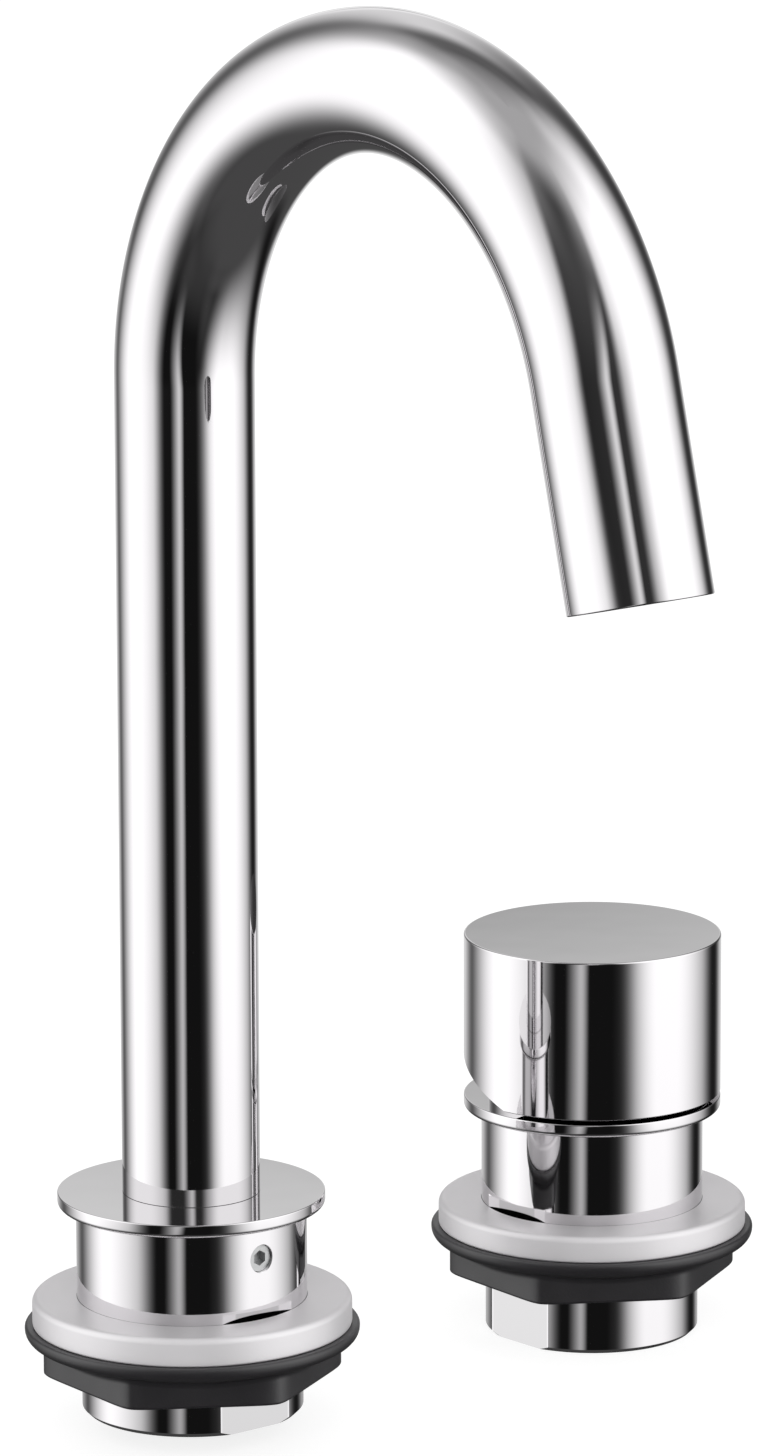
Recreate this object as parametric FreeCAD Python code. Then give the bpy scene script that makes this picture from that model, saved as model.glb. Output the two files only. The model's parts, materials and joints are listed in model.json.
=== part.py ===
"""Two-hole basin mixer: a swivelling tall spout and a separate joystick valve.

Millimetres, +Z up. The origin is on the spout's axis at the top of the deck.
The valve stands beside the spout along +X, and the spout reaches towards -Y.
"""
import math
import os

import FreeCAD
import Part

# Layout
hole_spacing = 100.0
spout_turn = 3.6

# Spout tube
tube_diameter = 25.0
tube_wall = 1.5
tube_edge_radius = 0.3
riser_height = 149.4
bend_radius = 59.0
bend_angle = 165.4
outlet_straight = 37.5

# Spout ferrule, the turned piece that carries the tube and turns in the body
foot_gap = 0.35
foot_band_height = 6.2
joint_groove = 0.25
ferrule_spigot = 20.0
ferrule_bore_diameter = 14.0
journal_diameter = 20.0
journal_length = 20.0
journal_end_gap = 0.4

# Swivel bearing, seals and stop
swivel_limit = 60.0
glide_ring_height = 2.0
glide_ring_depth = 1.0
upper_glide_depth = 1.2
lower_glide_depth = 17.2
o_ring_section = 1.8
o_ring_depth = 12.1
o_ring_pitch = 3.2
groove_side_gap = 0.2
limit_screw_depth = 8.4
limit_screw_diameter = 5.0
limit_screw_recess = 0.7
limit_dog_diameter = 2.6
limit_dog_length = 2.9
limit_groove_depth = 1.5
limit_socket_flats = 2.5
limit_socket_depth = 1.6
limit_mouth_diameter = 6.4

# Aerator in the outlet
aerator_recess = 0.8
aerator_length = 9.0
aerator_wall = 1.8
aerator_seal_height = 1.5
aerator_stop_height = 2.0
aerator_stop_depth = 1.6
straightener_height = 5.0
straightener_hole = 1.5
straightener_pitch = 2.1
straightener_rings = 3

# Base flange and shank, alike on both units
flange_diameter = 48.6
flange_thickness = 2.5
flange_rim_radius = 0.9
neck_diameter = 41.9
pilot_diameter = 40.3
pilot_start = 1.2
shank_chamfer = 0.8
spout_shank_length = 38.4
valve_shank_length = 43.2
flat_depth = 1.5
flat_start = 15.4
seal_width = 1.2
seal_height = 1.3

# Deck clamp, alike on both units
spout_deck_gap = 17.15
valve_deck_gap = 17.9
washer_diameter = 58.2
washer_thickness = 4.9
washer_edge_radius = 0.5
nut_flange_diameter = 60.6
nut_rim_thickness = 2.2
nut_flange_thickness = 4.5
nut_height = 9.2
nut_across_flats = 48.0
nut_corner_diameter = 54.0
nut_edge_radius = 0.4
spout_nut_turn = 24.5
valve_nut_turn = 25.5

# Water ways
port_diameter = 9.0
port_depth = 10.0
port_mouth = 0.6
spout_water_bore = 7.0
valve_water_bore = 5.0
port_circle_diameter = 15.0
port_count = 3
outlet_port_angle = 90.0

# Valve cartridge
cavity_diameter = 35.2
cavity_depth = 22.5
cartridge_diameter = 35.0
cartridge_wall = 2.8
cartridge_shoulder = 1.5
cartridge_shoulder_height = 17.0
cartridge_height = 24.0
cartridge_top_wall = 2.5
base_flange_height = 3.5
base_spigot_height = 2.0
base_seal_section = 1.4
fixed_disc_diameter = 27.0
fixed_disc_thickness = 3.2
moving_disc_diameter = 22.0
moving_disc_thickness = 3.0
mixing_recess_depth = 1.2
mixing_recess_diameter = 13.2
mixing_recess_offset = 3.5
slider_height = 4.4
slider_gap = 0.2

# Joystick spindle and its turning carrier
knob_turn_limit = 45.0
knob_tilt_limit = 20.0
pivot_height = 6.0
pivot_pin_diameter = 4.0
spindle_width = 8.0
spindle_arm_diameter = 5.2
spindle_ball_diameter = 6.0
spindle_ball_drop = 13.5
spindle_top = 26.5
carrier_neck_diameter = 20.0
carrier_neck_top = 9.5
slot_back = 6.2
slot_front = 7.8
pin_inset = 0.6

# Temperature stop
stop_ring_height = 2.0
stop_ring_width = 4.0
stop_lug_angle = 20.0
stop_lug_reach = 1.6

# Cartridge nut and the cap over it
cartridge_nut_flange = 37.0
cartridge_nut_top = 5.0
wrench_slots = 4
wrench_slot_width = 4.0
wrench_slot_depth = 2.0
cap_diameter = 39.2
cap_wall = 0.8
cap_height = 8.6
cap_edge_radius = 3.0
cap_mouth_diameter = 22.0

# Knob
knob_gap = 0.85
knob_diameter = 48.6
knob_height = 30.35
knob_wall = 2.2
knob_top_wall = 2.5
knob_top_radius = 0.35
undercut_angle = 21.0
undercut_start = 2.0
knob_boss_wall = 3.0
knob_boss_length = 13.0
insert_diameter = 18.0
insert_length = 14.5
set_screw_diameter = 4.0
set_screw_height = 20.5
set_screw_socket = 2.0
key_hole_diameter = 5.0

# Clearances
running_gap = 0.05
thread_gap = 0.1
seat_gap = 0.03
washer_hole_gap = 0.1
seal_gap = 0.05
fit_gap = 0.08
past = 5.0

# Radii and heights worked out from the sizes above
tube_radius = tube_diameter / 2
tube_bore = tube_radius - tube_wall
flange_top = flange_thickness
flange_radius = flange_diameter / 2
neck_radius = neck_diameter / 2
pilot_radius = pilot_diameter / 2
journal_radius = journal_diameter / 2
ferrule_bore = ferrule_bore_diameter / 2
foot_bottom = flange_top + foot_gap
foot_top = foot_bottom + foot_band_height
bend_start = flange_top + riser_height
limit_height = flange_top - limit_screw_depth
cavity_floor = flange_top - cavity_depth
pivot_z = flange_top + pivot_height
knob_bottom = flange_top + knob_gap
knob_top = knob_bottom + knob_height
knob_ceiling = knob_top - knob_top_wall
spindle_travel = spindle_ball_drop * math.sin(math.radians(knob_tilt_limit))

UP = FreeCAD.Vector(0, 0, 1)


def vec(x, y, z):
    return FreeCAD.Vector(x, y, z)


def rod(radius, low, high, x=0.0, y=0.0):
    """Upright round bar between two heights."""
    return Part.makeCylinder(radius, high - low, vec(x, y, low))


def ring(outer, inner, low, high):
    """Upright ring with a rectangular section."""
    return rod(outer, low, high).cut(rod(inner, low - past, high + past))


def lathe(points):
    """Solid turned about Z from a closed outline of (radius, height) points."""
    corners = [vec(r, 0, z) for r, z in points]
    face = Part.Face(Part.makePolygon(corners + corners[:1]))
    return face.revolve(vec(0, 0, 0), UP, 360)


def sector(outer, inner, low, high, middle, half_angle):
    """Part of a ring, centred on the angle middle."""
    corners = [vec(inner, 0, low), vec(outer, 0, low), vec(outer, 0, high), vec(inner, 0, high)]
    face = Part.Face(Part.makePolygon(corners + corners[:1]))
    face.rotate(vec(0, 0, 0), UP, middle - half_angle)
    return face.revolve(vec(0, 0, 0), UP, 2 * half_angle)


def block(x0, x1, y0, y1, z0, z1):
    return Part.makeBox(x1 - x0, y1 - y0, z1 - z0, vec(x0, y0, z0))


def hexagon(across_flats, low, high, turn=0.0):
    """Upright hexagonal bar with one corner at the angle turn."""
    corner = across_flats / math.sqrt(3)
    points = []
    for step in range(7):
        angle = math.radians(turn + 60 * step)
        points.append(vec(corner * math.cos(angle), corner * math.sin(angle), low))
    return Part.Face(Part.makePolygon(points)).extrude(vec(0, 0, high - low))


def radial(shape, angle, height):
    """Lay a shape built along +Z so that it points outwards at an angle and height."""
    laid = shape.copy()
    laid.rotate(vec(0, 0, 0), vec(0, 1, 0), 90)
    laid.rotate(vec(0, 0, 0), UP, angle)
    laid.translate(vec(0, 0, height))
    return laid


def round_edges(shape, radius, test):
    """Fillet the edges that a test picks."""
    edges = [edge for edge in shape.Edges if test(edge)]
    return shape.makeFillet(radius, edges)


def circle_at(radius, height):
    """Test for a full circular edge of one radius at one height."""
    def test(edge):
        curve = edge.Curve
        return (isinstance(curve, Part.Circle) and abs(curve.Radius - radius) < 1e-4
                and abs(curve.Center.z - height) < 1e-4 and abs(curve.Axis.z) > 0.999)
    return test


def merged(shape):
    return shape.removeSplitter()


def turned(shape):
    """Turn a piece of the spout unit to the way the unit faces on the deck."""
    placed = shape.copy()
    placed.rotate(vec(0, 0, 0), UP, -spout_turn)
    return placed


def at_valve(shape):
    placed = shape.copy()
    placed.translate(vec(hole_spacing, 0, 0))
    return placed


# Where the tube leaves the bend, in the plane x = 0: its end point and direction
bend_end_angle = math.radians(bend_angle)
bend_end = vec(0, -bend_radius * (1 - math.cos(bend_end_angle)),
               bend_start + bend_radius * math.sin(bend_end_angle))
outlet_way = vec(0, -math.sin(bend_end_angle), math.cos(bend_end_angle))
outlet_point = bend_end + outlet_way * outlet_straight


def along_tube(radius):
    """Solid of one radius along the riser, bend and straight outlet."""
    riser = rod(radius, foot_top, bend_start)
    face = Part.Face(Part.Wire(Part.makeCircle(radius, vec(0, 0, bend_start), UP)))
    bend = face.revolve(vec(0, -bend_radius, bend_start), vec(1, 0, 0), bend_angle)
    outlet = Part.makeCylinder(radius, outlet_straight, bend_end, outlet_way)
    return merged(riser.fuse([bend, outlet]))


def at_outlet(shape):
    """Move a shape built up from z = 0 into the outlet, its z = 0 at the square cut end."""
    placed = shape.copy()
    placed.rotate(vec(0, 0, 0), vec(1, 0, 0), bend_angle - 180)
    placed.translate(outlet_point)
    return placed


def spout_tube():
    """Bent tube with its square cut end, and the step inside that stops the aerator."""
    tube = along_tube(tube_radius).cut(along_tube(tube_bore))
    stop_low = aerator_recess + aerator_length + aerator_seal_height
    stop = ring(tube_bore, tube_bore - aerator_stop_depth, stop_low, stop_low + aerator_stop_height)
    tube = merged(tube.fuse(at_outlet(stop)))
    at_end = [edge for edge in tube.Edges
              if isinstance(edge.Curve, Part.Circle)
              and edge.Curve.Center.distanceToPoint(outlet_point) < 1e-4]
    return turned(tube.makeFillet(tube_edge_radius, at_end))


def spout_ferrule():
    """Turned brass ferrule: spigot in the tube, foot band, and journal with its grooves."""
    journal_bottom = flange_top - journal_length
    body = rod(journal_radius, journal_bottom, foot_bottom)
    body = body.fuse(rod(tube_radius, foot_bottom, foot_top - joint_groove))
    body = body.fuse(rod(tube_radius - joint_groove, foot_top - 2 * joint_groove, foot_top))
    body = body.fuse(rod(tube_bore - seat_gap, foot_top - joint_groove, foot_top + ferrule_spigot))
    body = merged(body).cut(rod(ferrule_bore, journal_bottom - past, foot_top + ferrule_spigot + past))
    for depth in (upper_glide_depth, lower_glide_depth):
        top = flange_top - depth
        low = top - glide_ring_height - groove_side_gap
        body = body.cut(ring(journal_radius + past, journal_radius - glide_ring_depth, low, top))
    for depth in (o_ring_depth, o_ring_depth + o_ring_pitch):
        half = o_ring_section / 2 + groove_side_gap
        middle = flange_top - depth
        body = body.cut(ring(journal_radius + past, o_ring_floor(), middle - half, middle + half))
    half_width = limit_dog_diameter / 2 + groove_side_gap
    dog_angle = math.degrees(math.asin(half_width / (journal_radius - limit_groove_depth)))
    groove = sector(journal_radius + past, journal_radius - limit_groove_depth,
                    limit_height - half_width, limit_height + half_width,
                    -90, swivel_limit + dog_angle)
    return turned(body.cut(groove))


def o_ring_floor():
    """Radius of the groove floor under the swivel O-rings."""
    return journal_radius + running_gap - seal_gap - o_ring_section - seat_gap


def glide_ring(depth):
    """Plastic bearing ring in a groove of the journal."""
    top = flange_top - depth - groove_side_gap / 2
    outer = journal_radius + running_gap / 2
    return turned(ring(outer, journal_radius - glide_ring_depth + seat_gap, top - glide_ring_height, top))


def swivel_o_rings():
    """The two O-rings that seal the journal in the body."""
    middle = o_ring_floor() + seat_gap + o_ring_section / 2
    rings = [Part.makeTorus(middle, o_ring_section / 2, vec(0, 0, flange_top - depth))
             for depth in (o_ring_depth, o_ring_depth + o_ring_pitch)]
    return turned(Part.makeCompound(rings))


def aerator_housing():
    """Ring that screws into the outlet and holds the flow straightener."""
    outer = tube_bore - seat_gap
    low = aerator_recess
    return turned(at_outlet(ring(outer, outer - aerator_wall, low, low + aerator_length)))


def flow_straightener():
    """Plastic disc with rings of small holes that the water leaves through."""
    outer = tube_bore - aerator_wall - 2 * seat_gap
    low = aerator_recess + 1.0
    disc = rod(outer, low, low + straightener_height)
    drills = [rod(straightener_hole / 2, low - past, low + straightener_height + past)]
    for turn in range(1, straightener_rings + 1):
        for step in range(6 * turn):
            angle = 2 * math.pi * step / (6 * turn)
            reach = straightener_pitch * turn
            drills.append(rod(straightener_hole / 2, low - past, low + straightener_height + past,
                              reach * math.cos(angle), reach * math.sin(angle)))
    return turned(at_outlet(disc.cut(Part.makeCompound(drills))))


def aerator_seal():
    """Flat rubber ring between the aerator and the step in the tube."""
    low = aerator_recess + aerator_length
    outer = tube_bore - seat_gap
    return turned(at_outlet(ring(outer, outer - aerator_stop_depth, low, low + aerator_seal_height)))


def shank_blank(shank_length, nut_bottom, flat_angle):
    """Flange, neck, plain end and milled flat that both bodies start from."""
    flange = rod(flange_radius, 0, flange_thickness)
    flange = round_edges(flange, flange_rim_radius, circle_at(flange_radius, 0))
    pilot_top = nut_bottom + pilot_start
    neck = rod(neck_radius, pilot_top, flange_thickness)
    pilot = rod(pilot_radius, -shank_length, pilot_top)
    at_end = circle_at(pilot_radius, -shank_length)
    pilot = pilot.makeChamfer(shank_chamfer, [edge for edge in pilot.Edges if at_end(edge)])
    blank = merged(flange.fuse([neck, pilot]))
    plane = neck_radius - flat_depth
    flat = block(plane, flange_radius, -flange_radius, flange_radius,
                 -shank_length - past, -flat_start)
    flat.rotate(vec(0, 0, 0), UP, flat_angle)
    seal_space = ring(neck_radius + seal_width, neck_radius, -past, seal_height)
    return blank.cut([flat, seal_space])


def nut_bottom_height(deck_gap):
    return -deck_gap - washer_thickness - nut_height


def port(bottom, x, y):
    """Threaded hose port drilled up from the underside, with its chamfered mouth."""
    hole = rod(port_diameter / 2, bottom - past, bottom + port_depth, x, y)
    mouth = Part.makeCone(port_diameter / 2 + port_mouth, port_diameter / 2, port_mouth,
                          vec(x, y, bottom))
    return hole.fuse(mouth)


def port_places():
    """Centres of the valve's hot, cold and mixed water ways."""
    reach = port_circle_diameter / 2
    places = []
    for step in range(port_count):
        angle = math.radians(outlet_port_angle + 360.0 * step / port_count)
        places.append((reach * math.cos(angle), reach * math.sin(angle)))
    return places


def spout_body():
    """Brass body of the spout unit: bearing bore, stop screw hole and hose port."""
    body = shank_blank(spout_shank_length, nut_bottom_height(spout_deck_gap), -90)
    bore_bottom = flange_top - journal_length - journal_end_gap
    bore = rod(journal_radius + running_gap, bore_bottom, flange_top + past)
    water = rod(spout_water_bore / 2, -spout_shank_length, bore_bottom + past)
    screw_hole = Part.makeCylinder(limit_screw_diameter / 2, neck_radius + past)
    mouth_depth = (limit_mouth_diameter - limit_screw_diameter) / 2
    mouth = Part.makeCone(limit_screw_diameter / 2, limit_mouth_diameter / 2 + past,
                          mouth_depth + past, vec(0, 0, neck_radius - mouth_depth))
    drill = radial(screw_hole.fuse(mouth), -90, limit_height)
    return turned(body.cut([bore, water, port(-spout_shank_length, 0, 0), drill]))


def limit_screw():
    """Grub screw with a hexagon socket, whose dog point runs in the journal's groove."""
    outer_end = neck_radius - limit_screw_recess
    dog_end = journal_radius - limit_dog_length + limit_groove_depth
    shoulder = journal_radius + limit_dog_length - limit_groove_depth
    shank = rod(limit_screw_diameter / 2 - seat_gap, shoulder, outer_end)
    dog = rod(limit_dog_diameter / 2, dog_end, shoulder + past)
    socket = hexagon(limit_socket_flats, outer_end - limit_socket_depth, outer_end + past)
    return turned(radial(merged(shank.fuse(dog)).cut(socket), -90, limit_height))


def flange_seal():
    """Rubber ring round the neck, flush with the underside of the flange."""
    return ring(neck_radius + seal_width - seat_gap, neck_radius + seat_gap,
                0, seal_height - seat_gap)


def clamp_washer(deck_gap):
    """Thick round washer that the nut pulls up against the deck."""
    outer = washer_diameter / 2
    top = -deck_gap
    washer = ring(outer, neck_radius + washer_hole_gap, top - washer_thickness, top)
    rims = [circle_at(outer, height) for height in (top, top - washer_thickness)]
    return round_edges(washer, washer_edge_radius, lambda edge: any(rim(edge) for rim in rims))


def back_nut(deck_gap, turn):
    """Moulded plastic nut: round flange with a coned underside, and a hexagon with turned corners."""
    top = -deck_gap - washer_thickness
    bottom = top - nut_height
    rim = nut_flange_diameter / 2
    rim_low = top - nut_rim_thickness
    flange_low = top - nut_flange_thickness
    flange = lathe([(0, top), (rim, top), (rim, rim_low),
                    (nut_across_flats / 2, flange_low), (0, flange_low)])
    flange = round_edges(flange, nut_edge_radius, circle_at(rim, top))
    grip = hexagon(nut_across_flats, bottom, rim_low, turn)
    grip = grip.common(rod(nut_corner_diameter / 2, bottom, rim_low))
    nut = merged(flange.fuse(grip))
    bore_radius = neck_radius + thread_gap
    bore = rod(bore_radius, bottom - past, top + past)
    mouth = Part.makeCone(bore_radius + port_mouth, bore_radius, port_mouth, vec(0, 0, bottom))
    return nut.cut([bore, mouth])


def valve_body():
    """Brass body of the valve unit: cartridge cavity and the three water ways."""
    body = shank_blank(valve_shank_length, nut_bottom_height(valve_deck_gap), 180)
    cuts = [rod(cavity_diameter / 2, cavity_floor, flange_top + past)]
    for x, y in port_places():
        cuts.append(port(-valve_shank_length, x, y))
        cuts.append(rod(valve_water_bore / 2, -valve_shank_length, cavity_floor + past, x, y))
    return at_valve(body.cut(cuts))


def cartridge_radius():
    return cartridge_diameter / 2


def cartridge_bore():
    """Inner radius of the cartridge housing."""
    return cartridge_radius() - cartridge_wall


def base_top():
    """Height of the cartridge base's upper face, where the fixed disc lies."""
    return cavity_floor + base_flange_height + base_spigot_height


def slider_low():
    """Height of the moving disc's upper face, where the slider lies."""
    return base_top() + fixed_disc_thickness + moving_disc_thickness


def slider_top():
    return slider_low() + slider_height


def housing_top():
    return cavity_floor + cartridge_height


def cartridge_base():
    """Plastic base with the three water ways and the recesses for their seals."""
    flange_height = cavity_floor + base_flange_height
    base = rod(cartridge_radius(), cavity_floor, flange_height)
    base = merged(base.fuse(rod(cartridge_bore() - fit_gap, cavity_floor, base_top())))
    cuts = []
    for x, y in port_places():
        cuts.append(rod(valve_water_bore / 2, cavity_floor - past, base_top() + past, x, y))
        seal_space = valve_water_bore / 2 + base_seal_section
        cuts.append(rod(seal_space, cavity_floor - past, cavity_floor + base_seal_section, x, y))
    return at_valve(base.cut(cuts))


def base_seals():
    """Three small rubber rings under the cartridge base."""
    seals = []
    for x, y in port_places():
        outer = rod(valve_water_bore / 2 + base_seal_section - seat_gap, cavity_floor,
                    cavity_floor + base_seal_section - seat_gap, x, y)
        bore = rod(valve_water_bore / 2, cavity_floor - past, cavity_floor + past, x, y)
        seals.append(outer.cut(bore))
    return at_valve(Part.makeCompound(seals))


def cartridge_housing():
    """Plastic cup that holds the discs and carries the turning neck in its top."""
    low = cavity_floor + base_flange_height
    shoulder = cavity_floor + cartridge_shoulder_height
    top = housing_top()
    narrow = cartridge_radius() - cartridge_shoulder
    shell = merged(rod(cartridge_radius(), low, shoulder).fuse(rod(narrow, shoulder - 1, top)))
    inside = rod(cartridge_bore(), low - past, top - cartridge_top_wall)
    mouth = rod(carrier_neck_diameter / 2 + running_gap, low, top + past)
    return at_valve(shell.cut([inside, mouth]))


def fixed_disc():
    """Ceramic disc with the three ports, held still on the base."""
    disc = rod(fixed_disc_diameter / 2, base_top(), base_top() + fixed_disc_thickness)
    ports = [rod(valve_water_bore / 2, base_top() - past, base_top() + past, x, y)
             for x, y in port_places()]
    return at_valve(disc.cut(ports))


def disc_offset():
    """How far behind the axis the moving disc rests when the valve is shut."""
    return spindle_travel / 2


def moving_disc():
    """Ceramic disc that slides over the ports, with its mixing recess below."""
    low = slider_low() - moving_disc_thickness
    disc = rod(moving_disc_diameter / 2, low, slider_low(), 0, disc_offset())
    recess = rod(mixing_recess_diameter / 2, low - past, low + mixing_recess_depth,
                 0, disc_offset() + mixing_recess_offset)
    return at_valve(disc.cut(recess))


def disc_slider():
    """Plastic driver on the moving disc, with the socket for the spindle's ball."""
    driver = rod(moving_disc_diameter / 2, slider_low(), slider_top(), 0, disc_offset())
    socket = rod(spindle_ball_diameter / 2 + fit_gap, slider_low() - past, slider_top() + past)
    return at_valve(driver.cut(socket))


def spindle_carrier():
    """Turning piece that the spindle is pinned in: flange below, slotted neck above."""
    low = slider_top() + slider_gap
    flange_high = housing_top() - cartridge_top_wall - fit_gap
    neck_radius_here = carrier_neck_diameter / 2
    neck_high = flange_top + carrier_neck_top
    body = rod(cartridge_bore() - running_gap, low, flange_high)
    body = merged(body.fuse(rod(neck_radius_here, low, neck_high)))
    lug_low = housing_top() + fit_gap
    lug_high = housing_top() + stop_ring_height
    lug = sector(neck_radius_here + stop_lug_reach, neck_radius_here - 1, lug_low, lug_high,
                 -90, stop_lug_angle / 2)
    body = merged(body.fuse(lug))
    half = spindle_width / 2 + running_gap
    slot = block(-half, half, -slot_front, slot_back, low - past, neck_high + past)
    pin_hole = radial(Part.makeCylinder(pivot_pin_diameter / 2 + seat_gap, 2 * neck_radius_here,
                                        vec(0, 0, -neck_radius_here)), 0, pivot_z)
    return at_valve(body.cut([slot, pin_hole]))


def pivot_pin():
    """Steel pin across the carrier's neck that the spindle tilts on."""
    half = carrier_neck_diameter / 2 - pin_inset
    pin = Part.makeCylinder(pivot_pin_diameter / 2, 2 * half, vec(0, 0, -half))
    return at_valve(radial(pin, 0, pivot_z))


def joystick_spindle():
    """Spindle with a square head for the knob and a ball at its lower end."""
    half = spindle_width / 2
    arm_top = pivot_z - half
    ball_z = pivot_z - spindle_ball_drop
    head = block(-half, half, -half, half, arm_top, flange_top + spindle_top)
    arm = rod(spindle_arm_diameter / 2, ball_z, arm_top + 1)
    ball = Part.makeSphere(spindle_ball_diameter / 2, vec(0, 0, ball_z))
    spindle = merged(head.fuse([arm, ball]))
    hole = Part.makeCylinder(pivot_pin_diameter / 2 + running_gap, 2 * spindle_width,
                             vec(0, 0, -spindle_width))
    return at_valve(spindle.cut(radial(hole, 0, pivot_z)))


def stop_ring():
    """Plastic ring on the cartridge whose recess limits how far the knob turns."""
    low = housing_top()
    inner = carrier_neck_diameter / 2 + fit_gap
    body = ring(inner + stop_ring_width, inner, low, low + stop_ring_height)
    reach = carrier_neck_diameter / 2 + stop_lug_reach + 2 * fit_gap
    half = knob_turn_limit + stop_lug_angle / 2 + 0.5
    recess = sector(reach, carrier_neck_diameter / 2 - 1, low - past, low + stop_ring_height + past,
                    -90, half)
    return at_valve(body.cut(recess))


def cartridge_nut():
    """Brass ring that screws into the body and holds the cartridge down."""
    low = cavity_floor + cartridge_shoulder_height
    inner = cartridge_radius() - cartridge_shoulder + fit_gap
    thread = ring(cavity_diameter / 2 - seat_gap, inner, low, flange_top + 1)
    top = flange_top + cartridge_nut_top
    flange = ring(cartridge_nut_flange / 2, inner, flange_top, top)
    slots = []
    for step in range(wrench_slots):
        slot = block(inner - 1, cartridge_nut_flange, -wrench_slot_width / 2, wrench_slot_width / 2,
                     top - wrench_slot_depth, top + past)
        slot.rotate(vec(0, 0, 0), UP, 45 + 360.0 * step / wrench_slots)
        slots.append(slot)
    return at_valve(merged(thread.fuse(flange)).cut(slots))


def cap_blank(radius, height, edge_radius):
    """Round block on the flange with its upper edge rounded."""
    top = flange_top + height
    return round_edges(rod(radius, flange_top, top), edge_radius, circle_at(radius, top))


def cover_cap():
    """Thin chromed cap that hides the cartridge nut under the knob."""
    outside = cap_blank(cap_diameter / 2, cap_height, cap_edge_radius)
    inside = cap_blank(cap_diameter / 2 - cap_wall, cap_height - cap_wall, cap_edge_radius - cap_wall)
    mouth = rod(cap_mouth_diameter / 2, flange_top - past, flange_top + cap_height + past)
    return at_valve(outside.cut([inside, mouth]))


def undercut():
    """Wedge cut from the knob's back, so that it can tilt without touching the flange."""
    reach = knob_diameter / 2 + past
    rise = (reach + undercut_start) * math.tan(math.radians(undercut_angle))
    corners = [vec(-reach, -undercut_start, knob_bottom), vec(-reach, reach, knob_bottom + rise),
               vec(-reach, reach, knob_bottom - past), vec(-reach, -undercut_start, knob_bottom - past)]
    return Part.Face(Part.makePolygon(corners + corners[:1])).extrude(vec(2 * reach, 0, 0))


def knob_shell():
    """Chromed knob: plain cup with an inner boss and the slanted cut at its back."""
    outer = knob_diameter / 2
    cup = rod(outer, knob_bottom, knob_top)
    cup = cup.cut(rod(outer - knob_wall, knob_bottom - past, knob_ceiling))
    boss_bore = insert_diameter / 2 + seat_gap
    boss = ring(boss_bore + knob_boss_wall, boss_bore, knob_ceiling - knob_boss_length, knob_ceiling)
    cup = merged(cup.fuse(boss))
    cup = round_edges(cup, knob_top_radius, circle_at(outer, knob_top))
    cup = cup.cut(undercut())
    screw_z = flange_top + set_screw_height
    reach = boss_bore + knob_boss_wall / 2
    screw_hole = Part.makeCylinder(set_screw_diameter / 2, outer, vec(0, 0, insert_diameter / 4))
    key_hole = Part.makeCylinder(key_hole_diameter / 2, outer, vec(0, 0, reach + knob_boss_wall))
    cup = cup.cut([radial(screw_hole, 90, screw_z), radial(key_hole, 90, screw_z)])
    return at_valve(cup)


def knob_insert():
    """Plastic insert in the knob's boss, with the square hole for the spindle."""
    low = knob_ceiling - insert_length
    body = rod(insert_diameter / 2, low, knob_ceiling - fit_gap)
    half = spindle_width / 2 + seat_gap
    hole = block(-half, half, -half, half, low - past, flange_top + spindle_top + fit_gap)
    screw_hole = Part.makeCylinder(set_screw_diameter / 2, insert_diameter, vec(0, 0, 0))
    screw_z = flange_top + set_screw_height
    return at_valve(body.cut([hole, radial(screw_hole, 90, screw_z)]))


def knob_set_screw():
    """Grub screw that clamps the knob and its insert to the spindle."""
    start = spindle_width / 2 + seat_gap
    end = insert_diameter / 2 + knob_boss_wall
    screw = rod(set_screw_diameter / 2 - seat_gap, start, end)
    socket = hexagon(set_screw_socket, end - set_screw_socket, end + past)
    return at_valve(radial(screw.cut(socket), 90, flange_top + set_screw_height))


nodes = {
    "spout_tube": spout_tube(),
    "spout_ferrule": spout_ferrule(),
    "upper_glide_ring": glide_ring(upper_glide_depth),
    "lower_glide_ring": glide_ring(lower_glide_depth),
    "swivel_o_rings": swivel_o_rings(),
    "aerator_housing": aerator_housing(),
    "flow_straightener": flow_straightener(),
    "aerator_seal": aerator_seal(),
    "spout_body": spout_body(),
    "swivel_limit_screw": limit_screw(),
    "spout_flange_seal": flange_seal(),
    "spout_clamp_washer": clamp_washer(spout_deck_gap),
    "spout_back_nut": back_nut(spout_deck_gap, spout_nut_turn),
    "valve_body": valve_body(),
    "cartridge_base": cartridge_base(),
    "cartridge_base_seals": base_seals(),
    "cartridge_housing": cartridge_housing(),
    "fixed_ceramic_disc": fixed_disc(),
    "moving_ceramic_disc": moving_disc(),
    "disc_slider": disc_slider(),
    "spindle_carrier": spindle_carrier(),
    "spindle_pivot_pin": pivot_pin(),
    "joystick_spindle": joystick_spindle(),
    "temperature_stop_ring": stop_ring(),
    "cartridge_nut": cartridge_nut(),
    "cover_cap": cover_cap(),
    "knob_shell": knob_shell(),
    "knob_insert": knob_insert(),
    "knob_set_screw": knob_set_screw(),
    "valve_flange_seal": at_valve(flange_seal()),
    "valve_clamp_washer": at_valve(clamp_washer(valve_deck_gap)),
    "valve_back_nut": at_valve(back_nut(valve_deck_gap, valve_nut_turn)),
}

os.makedirs("parts", exist_ok=True)
for name, shape in nodes.items():
    shape.exportStep("parts/" + name + ".step")
    box = shape.BoundBox
    print(name, "solids", len(shape.Solids), "valid", shape.isValid(), "volume", round(shape.Volume, 1),
          "z", round(box.ZMin, 2), round(box.ZMax, 2))
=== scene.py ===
# %% [markdown]
# # A two-hole basin mixer, finished in Blender
#
# The mixer is two separate units that stand in two holes of a basin: a tall swan-neck spout
# that swivels, and a valve with one round knob. Nearly all that shows is mirror chrome.
# A mirror has no look of its own, so two things decide the picture: how smooth the surfaces
# are, and what stands round the object to be reflected. This lesson builds the visible
# turned and bent pieces as dense, exact meshes, gives every piece a finish of its own, and
# then lights the whole with a painted studio dome that only reflections can see.
#
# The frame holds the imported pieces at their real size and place. Nothing in it moves.

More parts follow.
